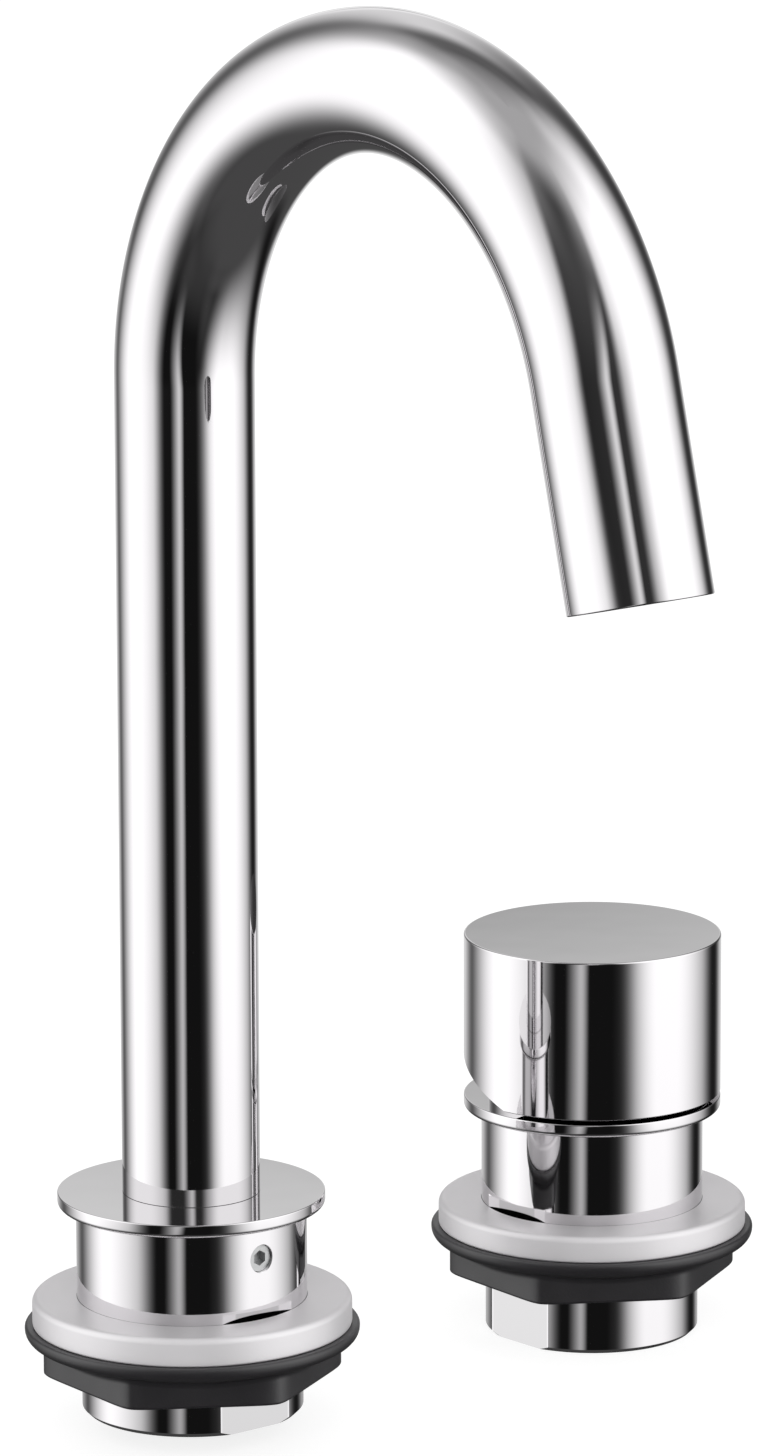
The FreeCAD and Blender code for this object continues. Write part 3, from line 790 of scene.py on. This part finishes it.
def add(tree, kind, inputs=None, **settings):
    """Add a node, set its properties, and fill or link its inputs."""
    node = tree.nodes.new(kind)
    for name, value in settings.items():
        setattr(node, name, value)
    for name, value in (inputs or {}).items():
        target = socket(node.inputs, name) if isinstance(name, str) else node.inputs[name]
        if isinstance(value, bpy.types.NodeSocket):
            tree.links.new(value, target)
        else:
            target.default_value = value
    return node


def new_material(name):
    """Empty node material, with its tree and the coordinates of the object."""
    material = bpy.data.materials.new(name)
    material.use_nodes = True
    tree = material.node_tree
    tree.nodes.clear()
    return material, tree, add(tree, "ShaderNodeTexCoord").outputs["Object"]


def per_mm(spacing):
    """Texture scale for a pattern whose features are this many millimetres apart."""
    return 1.0 / (spacing * MM)


def surface(tree, colour, pattern, roughness, relief, numbers, span=(NOISE_LOW, NOISE_HIGH)):
    """End of a recipe: gloss from a pattern, relief as (pattern, strength, depth), output."""
    height, strength, depth = relief
    rough = add(tree, "ShaderNodeMapRange", {
        "Value": pattern.outputs["Fac"], "From Min": span[0], "From Max": span[1],
        "To Min": roughness[0], "To Max": roughness[1]})
    bump = add(tree, "ShaderNodeBump", {
        "Height": height.outputs["Fac"], "Strength": strength, "Distance": depth * MM})
    shader = add(tree, "ShaderNodeBsdfPrincipled", {
        "Base Color": socket(colour.outputs, "Result"), "Roughness": rough.outputs["Result"],
        "Normal": bump.outputs["Normal"], **numbers})
    add(tree, "ShaderNodeOutputMaterial", {"Surface": shader.outputs["BSDF"]})


print("mid grey 808080 is", round(linear("808080")[0], 3), "in linear light")

# %% [markdown]
# ### Polished chrome
#
# Bright chrome plate over buffed brass. The plate itself is neutral and reflects about four
# fifths of the light. Buffing leaves two marks that the eye reads as metal instead of as a
# perfect mirror: a very faint long wave, which bends reflections by a fraction of a degree,
# and fine hairlines that blur them by a hair more in some places than in others. Real hairlines
# are some hundredths of a millimetre wide; they are drawn at 0.6 mm, because finer would not
# show. Level tops, found by a normal that points straight up, take a darker plate colour:
# that is painted shade, which keeps them grey. The flats of the shanks are milled, and the
# plate on them gives back a little less light, so they read as separate planes beside the
# buffed sides. The flats and end faces of the shanks are picked out by their distance from
# the axis, because they lie nearer to it than the round side does.

# %% Chrome
CHROME_WAVE = 14.0
CHROME_HAIRLINE = 0.6
# distance from the axis at which milled turns to buffed
MILLED_WITHIN = (20.0, 20.1)
# upward part of the normal at which the painted shade on level tops sets in
TOP_SHADE_RANGE = (0.999, 0.9998)


def from_axis(tree, place):
    """Distance from the upright axis of the nearer unit, which wraps round half way between."""
    parts = add(tree, "ShaderNodeSeparateXYZ", {"Vector": place})
    half_way = valve_x / 2 * MM
    nearer = add(tree, "ShaderNodeMath", {
        0: parts.outputs["X"], 1: half_way, 2: -half_way}, operation="WRAP")
    spot = add(tree, "ShaderNodeCombineXYZ", {"X": nearer.outputs[0], "Y": parts.outputs["Y"]})
    reach = add(tree, "ShaderNodeVectorMath", {0: spot.outputs["Vector"]}, operation="LENGTH")
    return reach.outputs["Value"]


def polished_chrome(name, milled_flat=False):
    """Buffed plate, with painted shade on level tops and, where asked, a duller tone on milled flats."""
    material, tree, place = new_material(name)
    buffed = add(tree, "ShaderNodeTexNoise", {
        "Vector": place, "Scale": per_mm(CHROME_WAVE), "Detail": 1.0})
    hairline = add(tree, "ShaderNodeTexNoise", {
        "Vector": place, "Scale": per_mm(CHROME_HAIRLINE), "Detail": 3.0})
    facing = add(tree, "ShaderNodeTexCoord").outputs["Normal"]
    upwards = add(tree, "ShaderNodeSeparateXYZ", {"Vector": facing}).outputs["Z"]
    # painted shade: this mask picks out level tops, which take the darker plate colour
    plain = add(tree, "ShaderNodeMapRange", {
        "Value": upwards, "From Min": TOP_SHADE_RANGE[0], "From Max": TOP_SHADE_RANGE[1]})
    if milled_flat:
        milled = add(tree, "ShaderNodeMapRange", {
            "Value": from_axis(tree, place), "From Min": MILLED_WITHIN[0] * MM,
            "From Max": MILLED_WITHIN[1] * MM, "To Min": 1.0, "To Max": 0.0})
        plain = add(tree, "ShaderNodeMath", {
            0: plain.outputs[0], 1: milled.outputs["Result"]}, operation="MAXIMUM")
    # painted shade on level tops, and the duller milled tone where asked, both take CECDCE
    plate = add(tree, "ShaderNodeMix", {
        "Factor": plain.outputs[0], "A": linear("E9E7E9"), "B": linear("CECDCE")},
        data_type="RGBA")
    surface(tree, plate, hairline, (0.022, 0.045), (buffed, 0.25, 0.06), {"Metallic": 1.0},
            span=(0.35, 0.75))
    return material


finishes["polished_chrome"] = polished_chrome("polished_chrome_plate")
milled_chrome = polished_chrome("milled_chrome_plate", milled_flat=True)
print("chrome with a", CHROME_WAVE, "mm wave and", CHROME_HAIRLINE, "mm hairlines")

# %% [markdown]
# ### Satin nickel
#
# The washers are plated too, but over a blasted surface. Its tiny pits scatter most of the
# light all ways, as a pale paint does, and leave only a broad, blurred image of the neck that
# stands on them. So the shader is part metal and part matt, and a fine even grain breaks up
# what shine is left. The real pits are about 0.1 mm; they are drawn at 0.5 mm, so that they
# show. The wall of the hole is painted near-black: that is painted shade, which draws a black
# slot where the shank is milled flat. One pattern serves both washers, because it wraps round
# half way between the two units and measures from the nearer axis.

# %% Satin nickel
SATIN_GRAIN = 0.5
SATIN_CLOUD = 18.0
# the hole wall inside these radii is painted near-black: painted shade for the slot beside the milled flat
HOLE_SHADE_RADIUS = 20.99
HOLE_SHADE_FADED_RADIUS = 21.03


def satin_nickel():
    """Blasted nickel surface round a hole whose wall is painted near-black as shade."""
    material, tree, place = new_material("satin_nickel_plate")
    grain = add(tree, "ShaderNodeTexNoise", {
        "Vector": place, "Scale": per_mm(SATIN_GRAIN), "Detail": 2.0})
    cloud = add(tree, "ShaderNodeTexNoise", {
        "Vector": place, "Scale": per_mm(SATIN_CLOUD), "Detail": 2.0})
    tone = add(tree, "ShaderNodeMapRange", {
        "Value": cloud.outputs["Fac"], "From Min": NOISE_LOW, "From Max": NOISE_HIGH})
    plate = add(tree, "ShaderNodeMix", {
        "Factor": tone.outputs["Result"], "A": linear("E4E2E4"), "B": linear("EAE8EA")},
        data_type="RGBA")
    outside_hole_shade = add(tree, "ShaderNodeMapRange", {
        "Value": from_axis(tree, place), "From Min": HOLE_SHADE_RADIUS * MM,
        "From Max": HOLE_SHADE_FADED_RADIUS * MM})
    # painted shade: near-black 1C1C1D on the hole wall, and the plate colour outside it
    colour = add(tree, "ShaderNodeMix", {
        "Factor": outside_hole_shade.outputs["Result"], "A": linear("1C1C1D"),
        "B": socket(plate.outputs, "Result")}, data_type="RGBA")
    surface(tree, colour, cloud, (0.47, 0.53), (grain, 0.35, 0.02), {"Metallic": 0.55})
    return material


finishes["satin_nickel"] = satin_nickel()
print("satin nickel with a", SATIN_GRAIN, "mm grain")

# %% [markdown]
# ### Black glass-filled nylon
#
# The back nuts are injection moulded. The mould was spark eroded, which leaves a fine even
# grain, so the plastic looks deep grey-black with a dull sheen and never shows an image.
# The real grain is about 0.1 mm; it is drawn at 0.35 mm, because finer would not show.

# %% Black nylon
NYLON_GRAIN = 0.35
NYLON_FLOW = 11.0


def black_nylon():
    """Dull black plastic with a spark-eroded grain."""
    material, tree, place = new_material("black_moulded_nylon")
    grain = add(tree, "ShaderNodeTexNoise", {
        "Vector": place, "Scale": per_mm(NYLON_GRAIN), "Detail": 3.0})
    flow = add(tree, "ShaderNodeTexNoise", {
        "Vector": place, "Scale": per_mm(NYLON_FLOW), "Detail": 2.0})
    colour = add(tree, "ShaderNodeMix", {
        "Factor": flow.outputs["Fac"], "A": linear("151317"), "B": linear("1A181C")},
        data_type="RGBA")
    surface(tree, colour, flow, (0.4, 0.48), (grain, 0.5, 0.04),
            {"IOR": 1.58, "Specular IOR Level": 0.85})
    return material


finishes["black_nylon"] = black_nylon()
print("black nylon with a", NYLON_GRAIN, "mm grain")

# %% [markdown]
# ### Plastics, ceramic and rubber inside
#
# Bearing rings and the cartridge are moulded acetal, a slightly waxy white or grey plastic that
# shines softly. The discs in the cartridge are alumina, pressed, fired and lapped until they
# gleam. The seals are moulded rubber: nearly black, with a bloom that dulls the surface
# unevenly. All are a colour with a slow cloud in it and a fine grain, so one recipe with
# different numbers serves them. Their real grain is 0.1 mm or less; it is drawn at 0.3 to
# 0.5 mm, so that it shows.

# %% Moulded recipe
MOULDED_CLOUD = 6.0


def moulded(name, dark, light, ior, roughness, grain_mm, relief_mm):
    """Clouded colour and gloss over a fine mould grain."""
    material, tree, place = new_material(name)
    cloud = add(tree, "ShaderNodeTexNoise", {
        "Vector": place, "Scale": per_mm(MOULDED_CLOUD), "Detail": 3.0})
    grain = add(tree, "ShaderNodeTexNoise", {
        "Vector": place, "Scale": per_mm(grain_mm), "Detail": 2.0})
    colour = add(tree, "ShaderNodeMix", {
        "Factor": cloud.outputs["Fac"], "A": linear(dark), "B": linear(light)},
        data_type="RGBA")
    surface(tree, colour, cloud, roughness, (grain, 0.4, relief_mm), {"IOR": ior})
    return material


finishes["black_rubber"] = moulded(
    "black_moulded_rubber", "1A1A1B", "262627", 1.52, (0.55, 0.72), 0.3, 0.03)
finishes["white_acetal"] = moulded(
    "white_moulded_acetal", "EAEAE4", "F3F3EE", 1.48, (0.3, 0.42), 0.4, 0.01)
finishes["grey_acetal"] = moulded(
    "grey_moulded_acetal", "A9ABAE", "B6B8BA", 1.48, (0.32, 0.45), 0.4, 0.01)
finishes["alumina_ceramic"] = moulded(
    "lapped_alumina", "EBE7DE", "F4F1EA", 1.76, (0.12, 0.22), 0.5, 0.004)
print("finishes so far:", len(finishes))

# %% [markdown]
# ### Turned metal
#
# Brass and stainless parts come straight from the lathe. The cutting tool leaves rings that
# are the same all the way round, so the pattern only depends on the distance from the axis and
# on the height. The real feed is 0.1 mm a turn; it is drawn at 0.3 mm so that it can be seen.

# %% Turned recipe
TOOL_FEED = 0.3


def turned(name, dark, light, roughness, axis_x):
    """Metal from the lathe, with tool rings about an upright axis."""
    material, tree, place = new_material(name)
    centred = add(tree, "ShaderNodeVectorMath", {
        0: place, 1: (axis_x * MM, 0.0, 0.0)}, operation="SUBTRACT")
    parts = add(tree, "ShaderNodeSeparateXYZ", {"Vector": centred.outputs["Vector"]})
    flat = add(tree, "ShaderNodeCombineXYZ", {"X": parts.outputs["X"], "Y": parts.outputs["Y"]})
    reach = add(tree, "ShaderNodeVectorMath", {0: flat.outputs["Vector"]}, operation="LENGTH")
    rings = add(tree, "ShaderNodeCombineXYZ", {
        "X": reach.outputs["Value"], "Y": parts.outputs["Z"]})
    marks = add(tree, "ShaderNodeTexNoise", {
        "Vector": rings.outputs["Vector"], "Scale": per_mm(TOOL_FEED), "Detail": 2.0})
    colour = add(tree, "ShaderNodeMix", {
        "Factor": marks.outputs["Fac"], "A": linear(dark), "B": linear(light)},
        data_type="RGBA")
    surface(tree, colour, marks, roughness, (marks, 0.4, 0.02), {"Metallic": 1.0})
    return material


finishes["bare_brass"] = turned("turned_brass", "B8924A", "D2AE66", (0.22, 0.34), valve_x)
finishes["stainless_steel"] = turned("turned_stainless", "C0C1C2", "D8D9D9", (0.34, 0.48), 0.0)
print("finishes:", ", ".join(sorted(finishes)))

# %% [markdown]
# ## Dress every piece
#
# The pieces made above take the finish of their slot, and the two bodies take the chrome that
# has milled flats. The frame nodes that keep their own shape, such as the cartridge, the seals
# and the outlet's insert, get the same library of finishes in their material slots.

# %% Give out the finishes
made_pieces = {
    "polished_chrome": [tube, ferrule, knob, cap, spout_body, valve_body],
    "satin_nickel": washers,
    "black_nylon": nuts,
}
for slot_name, pieces in made_pieces.items():
    for piece in pieces:
        piece.data.materials.clear()
        piece.data.materials.append(finishes[slot_name])
for body in (spout_body, valve_body):
    body.data.materials[0] = milled_chrome
node_slot = {part["node"]: part["material_slot"] for part in frame["record"]["subparts"]}
for node_name, node in frame["nodes"].items():
    for material_slot in node.material_slots:
        material_slot.material = finishes[node_slot[node_name]]
print("dressed", sum(len(p) for p in made_pieces.values()), "made pieces and", len(frame["nodes"]), "nodes")

# %% [markdown]
# ## The studio
#
# A chrome tap is photographed inside a tent of large white walls. Where the camera looks in,
# the tent stays open, and the dark room behind the camera draws the black cores that make
# chrome look like chrome. Here the tent is painted on the inside of a dome that only glossy
# rays can see. Each wall or gap is a soft-edged patch in degrees: azimuth counts from the
# camera towards the right, and elevation counts up from the horizon. A patch may lean, so that
# its sides slant. Patches straight behind the object count the azimuth both ways from the
# camera, because the plain azimuth jumps from 180 to -180 there.

# %% Directions in the tent
tent_paint, tent, place = new_material("studio_tent_paint")
way = add(tent, "ShaderNodeVectorMath", {0: place}, operation="NORMALIZE")
parts = add(tent, "ShaderNodeSeparateXYZ", {"Vector": way.outputs["Vector"]})
towards = add(tent, "ShaderNodeMath", {0: parts.outputs["Y"], 1: -1.0}, operation="MULTIPLY")
turn = add(tent, "ShaderNodeMath", {
    0: parts.outputs["X"], 1: towards.outputs[0]}, operation="ARCTAN2")
rise = add(tent, "ShaderNodeMath", {0: parts.outputs["Z"]}, operation="ARCSINE")
azimuth = add(tent, "ShaderNodeMath", {0: turn.outputs[0]}, operation="DEGREES").outputs[0]
elevation = add(tent, "ShaderNodeMath", {0: rise.outputs[0]}, operation="DEGREES").outputs[0]
behind = add(tent, "ShaderNodeMath", {0: azimuth}, operation="ABSOLUTE").outputs[0]
print("the tent's directions take", len(tent.nodes), "nodes")

# %% Soft-edged patch
USUAL_SOFTNESS = 8.0


def smooth_step(value, edge, softness):
    """Rises from 0 to 1 across an edge, over twice the softness."""
    step = add(tent, "ShaderNodeMapRange", {
        "Value": value, "From Min": edge - softness, "From Max": edge + softness},
        interpolation_type="SMOOTHSTEP")
    return step.outputs["Result"]


def between(value, start, end, start_soft, end_soft):
    """1 between two soft edges and 0 outside them."""
    before_end = add(tent, "ShaderNodeMath", {
        0: 1.0, 1: smooth_step(value, end, end_soft)}, operation="SUBTRACT")
    inside = add(tent, "ShaderNodeMath", {
        0: smooth_step(value, start, start_soft), 1: before_end.outputs[0]},
        operation="MULTIPLY")
    return inside.outputs[0]


def patch(light, around, left, right, low, high, brightness,
          left_soft=USUAL_SOFTNESS, right_soft=USUAL_SOFTNESS,
          low_soft=USUAL_SOFTNESS, high_soft=USUAL_SOFTNESS, lean=0.0):
    """Blend one soft-edged patch of even brightness over the light so far."""
    leaning = add(tent, "ShaderNodeMath", {
        0: elevation, 1: -lean, 2: around}, operation="MULTIPLY_ADD")
    across = between(leaning.outputs[0], left, right, left_soft, right_soft)
    upright = between(elevation, low, high, low_soft, high_soft)
    cover = add(tent, "ShaderNodeMath", {0: across, 1: upright}, operation="MULTIPLY")
    mixed = add(tent, "ShaderNodeMix", {"Factor": cover.outputs[0], "A": light, "B": brightness})
    return socket(mixed.outputs, "Result")


print("an edge fades over", 2 * USUAL_SOFTNESS, "degrees where its patch says nothing else")

# %% Ceiling, white walls and dark floor
ceiling = smooth_step(elevation, 62.0, 10.0)
light = add(tent, "ShaderNodeMapRange", {
    "Value": ceiling, "To Min": 0.07, "To Max": 0.44}).outputs["Result"]
# the two white walls
light = patch(light, azimuth, -122, -34, -32, 64, 1.35,
              left_soft=26, right_soft=37, low_soft=19, high_soft=16, lean=-0.22)
light = patch(light, azimuth, 17, 113, -31, 65, 1.35,
              left_soft=33, right_soft=32, low_soft=25, high_soft=16, lean=0.14)
# dark floor that rises in front of each wall
light = patch(light, azimuth, -53, -11, -47, -12, 0.03,
              left_soft=36, right_soft=22, low_soft=8, high_soft=27, lean=0.55)
light = patch(light, azimuth, -17, 33, -52, -4, 0.03,
              left_soft=40, right_soft=20, low_soft=8, high_soft=13, lean=-0.49)
print("ceiling, walls and dark floor take", len(tent.nodes), "nodes")

# %% Open side with a narrow white stand
# above the horizon, and then below it
light = patch(light, azimuth, -37, 22, 3, 54, 0.065,
              left_soft=6, right_soft=7, low_soft=5, high_soft=25, lean=0.05)
light = patch(light, azimuth, -41, 32, -47, 15, 0.007,
              left_soft=11, right_soft=13, low_soft=23, high_soft=26, lean=0.2)
# the stand
light = patch(light, azimuth, -5.4, -1.3, -20, 26, 1.58,
              left_soft=14, right_soft=5, low_soft=20, high_soft=15, lean=0.44)
print("with the open side the tent takes", len(tent.nodes), "nodes")

# %% Far side
# a window, a bright table edge under it, and the window's brighter low part with a grey screen
light = patch(light, behind, 157, 220, -5, 51, 0.76, left_soft=21, low_soft=10, high_soft=9)
light = patch(light, behind, 152, 220, -19, -2, 0.77, left_soft=16, low_soft=6, high_soft=2)
light = patch(light, behind, 172, 220, 5, 20, 0.94, left_soft=5, low_soft=3, high_soft=3)
light = patch(light, behind, 175, 220, 11, 14, 0.36, left_soft=5, low_soft=2, high_soft=3)
# dark gaps beside and above the window
light = patch(light, azimuth, 122, 145, -51, 13, 0.01,
              left_soft=12, right_soft=9, low_soft=18, high_soft=25, lean=-0.16)
light = patch(light, azimuth, -161, -153, -7, 69, 0.002,
              left_soft=21, right_soft=27, low_soft=2, high_soft=19, lean=0.51)
light = patch(light, behind, 138, 220, 60, 72, 0.02, left_soft=39, low_soft=6, high_soft=28)
light = patch(light, azimuth, 132, 160, -3, 46, 0.05,
              left_soft=10, right_soft=17, low_soft=21, high_soft=36, lean=0.14)
glow = add(tent, "ShaderNodeEmission", {"Color": linear("FFFFFF"), "Strength": light})
add(tent, "ShaderNodeOutputMaterial", {"Surface": glow.outputs["Emission"]})
tent_paint.cycles.emission_sampling = "NONE"
print("the whole tent takes", len(tent.nodes), "nodes")

# %% Dome
CAMERA_HEADING = -41.935
DOME_RADIUS = 3000.0
DOME_MIDDLE = (45.0, 0.0, 60.0)

dome_maker = bmesh.new()
bmesh.ops.create_icosphere(dome_maker, subdivisions=5, radius=DOME_RADIUS * MM)
dome = object_from("studio_tent", dome_maker)
dome.data.materials.append(tent_paint)
dome.location = Vector(DOME_MIDDLE) * MM
dome.rotation_euler.z = math.radians(CAMERA_HEADING)
dome.visible_camera = False
dome.visible_diffuse = False
dome.visible_shadow = False
dome.visible_transmission = False
print("studio tent of", DOME_RADIUS, "mm radius")

# %% [markdown]
# ## Floor, background and lamp
#
# The floor is white paper. Camera, mirror and glass rays see it as plain white; all other light
# falls on it as on real paper, so it keeps a faint soft shadow under the mixer. The world does
# the same behind it. One large soft lamp at the camera's side and an even world light the matt
# pieces at a plain level, at which a colour renders about as it is written. Paper and lamp are
# hidden from mirrors, because the painted tent holds all that the chrome is to show.

# %% Floor
FLOOR_SIZE = 9000.0
FLOOR_SIDES = 96
FLOOR_GLOW = 0.8
PAPER_FIBRE = 1.5


def seen_rays(tree):
    """1 for camera, mirror and glass rays, which are to meet plain white, and 0 for others."""
    rays = add(tree, "ShaderNodeLightPath")
    seen = rays.outputs["Is Camera Ray"]
    for kind in ("Is Glossy Ray", "Is Transmission Ray"):
        seen = add(tree, "ShaderNodeMath", {0: seen, 1: rays.outputs[kind]}, operation="MAXIMUM").outputs[0]
    return seen


def white_paper():
    """Paper that looks plain white, takes a faint shadow, and is clear from underneath."""
    material, tree, place = new_material("white_paper")
    fibre = add(tree, "ShaderNodeTexNoise", {
        "Vector": place, "Scale": per_mm(PAPER_FIBRE), "Detail": 3.0})
    colour = add(tree, "ShaderNodeMix", {
        "Factor": fibre.outputs["Fac"], "A": linear("F4F4F4"), "B": linear("F8F8F8")},
        data_type="RGBA")
    paper = add(tree, "ShaderNodeBsdfDiffuse", {"Color": socket(colour.outputs, "Result")})
    faint = add(tree, "ShaderNodeBsdfDiffuse", {"Color": linear("9A9A9A")})
    glow = add(tree, "ShaderNodeEmission", {"Color": linear("FFFFFF"), "Strength": FLOOR_GLOW})
    lit = add(tree, "ShaderNodeAddShader", {0: faint.outputs[0], 1: glow.outputs[0]})
    upper = add(tree, "ShaderNodeMixShader", {
        "Fac": seen_rays(tree), 1: paper.outputs[0], 2: lit.outputs[0]})
    clear = add(tree, "ShaderNodeBsdfTransparent")
    side = add(tree, "ShaderNodeNewGeometry")
    sheet = add(tree, "ShaderNodeMixShader", {
        "Fac": side.outputs["Backfacing"], 1: upper.outputs[0], 2: clear.outputs[0]})
    add(tree, "ShaderNodeOutputMaterial", {"Surface": sheet.outputs[0]})
    return material


floor_maker = bmesh.new()
bmesh.ops.create_circle(floor_maker, cap_ends=True, segments=FLOOR_SIDES, radius=FLOOR_SIZE * MM)
floor = object_from("paper_floor", floor_maker)
floor.data.materials.append(white_paper())
floor.location = Vector((DOME_MIDDLE[0], DOME_MIDDLE[1], valve_low.z)) * MM
floor.visible_glossy = False
print("floor at", round(valve_low.z, 1), "mm")

# %% World
WORLD_LEVEL = 0.85

world = bpy.data.worlds.new("studio_air")
scene.world = world
world.use_nodes = True
air = world.node_tree
air.nodes.clear()
air_level = add(air, "ShaderNodeMapRange", {
    "Value": seen_rays(air), "To Min": WORLD_LEVEL, "To Max": 1.0})
backdrop = add(air, "ShaderNodeBackground", {
    "Color": linear("FFFFFF"), "Strength": air_level.outputs["Result"]})
add(air, "ShaderNodeOutputWorld", {"Surface": backdrop.outputs["Background"]})
print("world level for matt surfaces", WORLD_LEVEL)

# %% Front lamp
LAMP_SIZE = 1600.0
LAMP_DISTANCE = 1900.0
LAMP_ELEVATION = 20.0
LAMP_POWER = 18.0

heading = math.radians(CAMERA_HEADING)


def from_camera_side(degrees_up):
    """Direction from the mixer towards the camera's side, at a height in degrees."""
    up = math.radians(degrees_up)
    return Vector((math.sin(heading) * math.cos(up), -math.cos(heading) * math.cos(up), math.sin(up)))


lamp_data = bpy.data.lights.new("front_softbox", "AREA")
lamp_data.shape = "DISK"
lamp_data.size = LAMP_SIZE * MM
lamp_data.energy = LAMP_POWER
lamp = bpy.data.objects.new("front_softbox", lamp_data)
scene.collection.objects.link(lamp)
lamp_way = from_camera_side(LAMP_ELEVATION)
lamp.location = (Vector(DOME_MIDDLE) + lamp_way * LAMP_DISTANCE) * MM
lamp.rotation_euler = lamp_way.to_track_quat("Z", "Y").to_euler()
lamp.visible_camera = False
lamp.visible_glossy = False
print("lamp of", LAMP_POWER, "W")

# %% [markdown]
# ## Camera
#
# The photograph was taken with a long lens from a little above, well to the left of the mixer.
# The numbers below say where that camera stood, as a heading and a height seen from a point
# between the two units.

# %% Camera
LENS = 199.387
SENSOR_WIDTH = 36.0
CAMERA_DISTANCE = 1443.58
CAMERA_ELEVATION = 12.479
CAMERA_ROLL = -0.178
AIM_RIGHT = 35.2
AIM_UP = 87.997
NEAREST = 50.0
FARTHEST = 50000.0

camera_data = bpy.data.cameras.new("long_lens")
camera_data.lens = LENS
camera_data.sensor_width = SENSOR_WIDTH
camera_data.clip_start = NEAREST * MM
camera_data.clip_end = FARTHEST * MM
camera = bpy.data.objects.new("photographer_view", camera_data)
scene.collection.objects.link(camera)
backwards = from_camera_side(CAMERA_ELEVATION)
aim = Vector((math.cos(heading), math.sin(heading), 0.0)) * AIM_RIGHT + Vector((0.0, 0.0, AIM_UP))
camera.location = (aim + backwards * CAMERA_DISTANCE) * MM
level = (-backwards).to_track_quat("-Z", "Y").to_matrix()
looking = level @ Matrix.Rotation(math.radians(CAMERA_ROLL), 3, "Z")
camera.rotation_euler = looking.to_euler()
scene.camera = camera
print("camera at", [round(c, 3) for c in camera.location])

# %% [markdown]
# ## Last steps
#
# The Standard view transform shows colours as they are written.

# %% View transform
scene.view_settings.view_transform = "Standard"
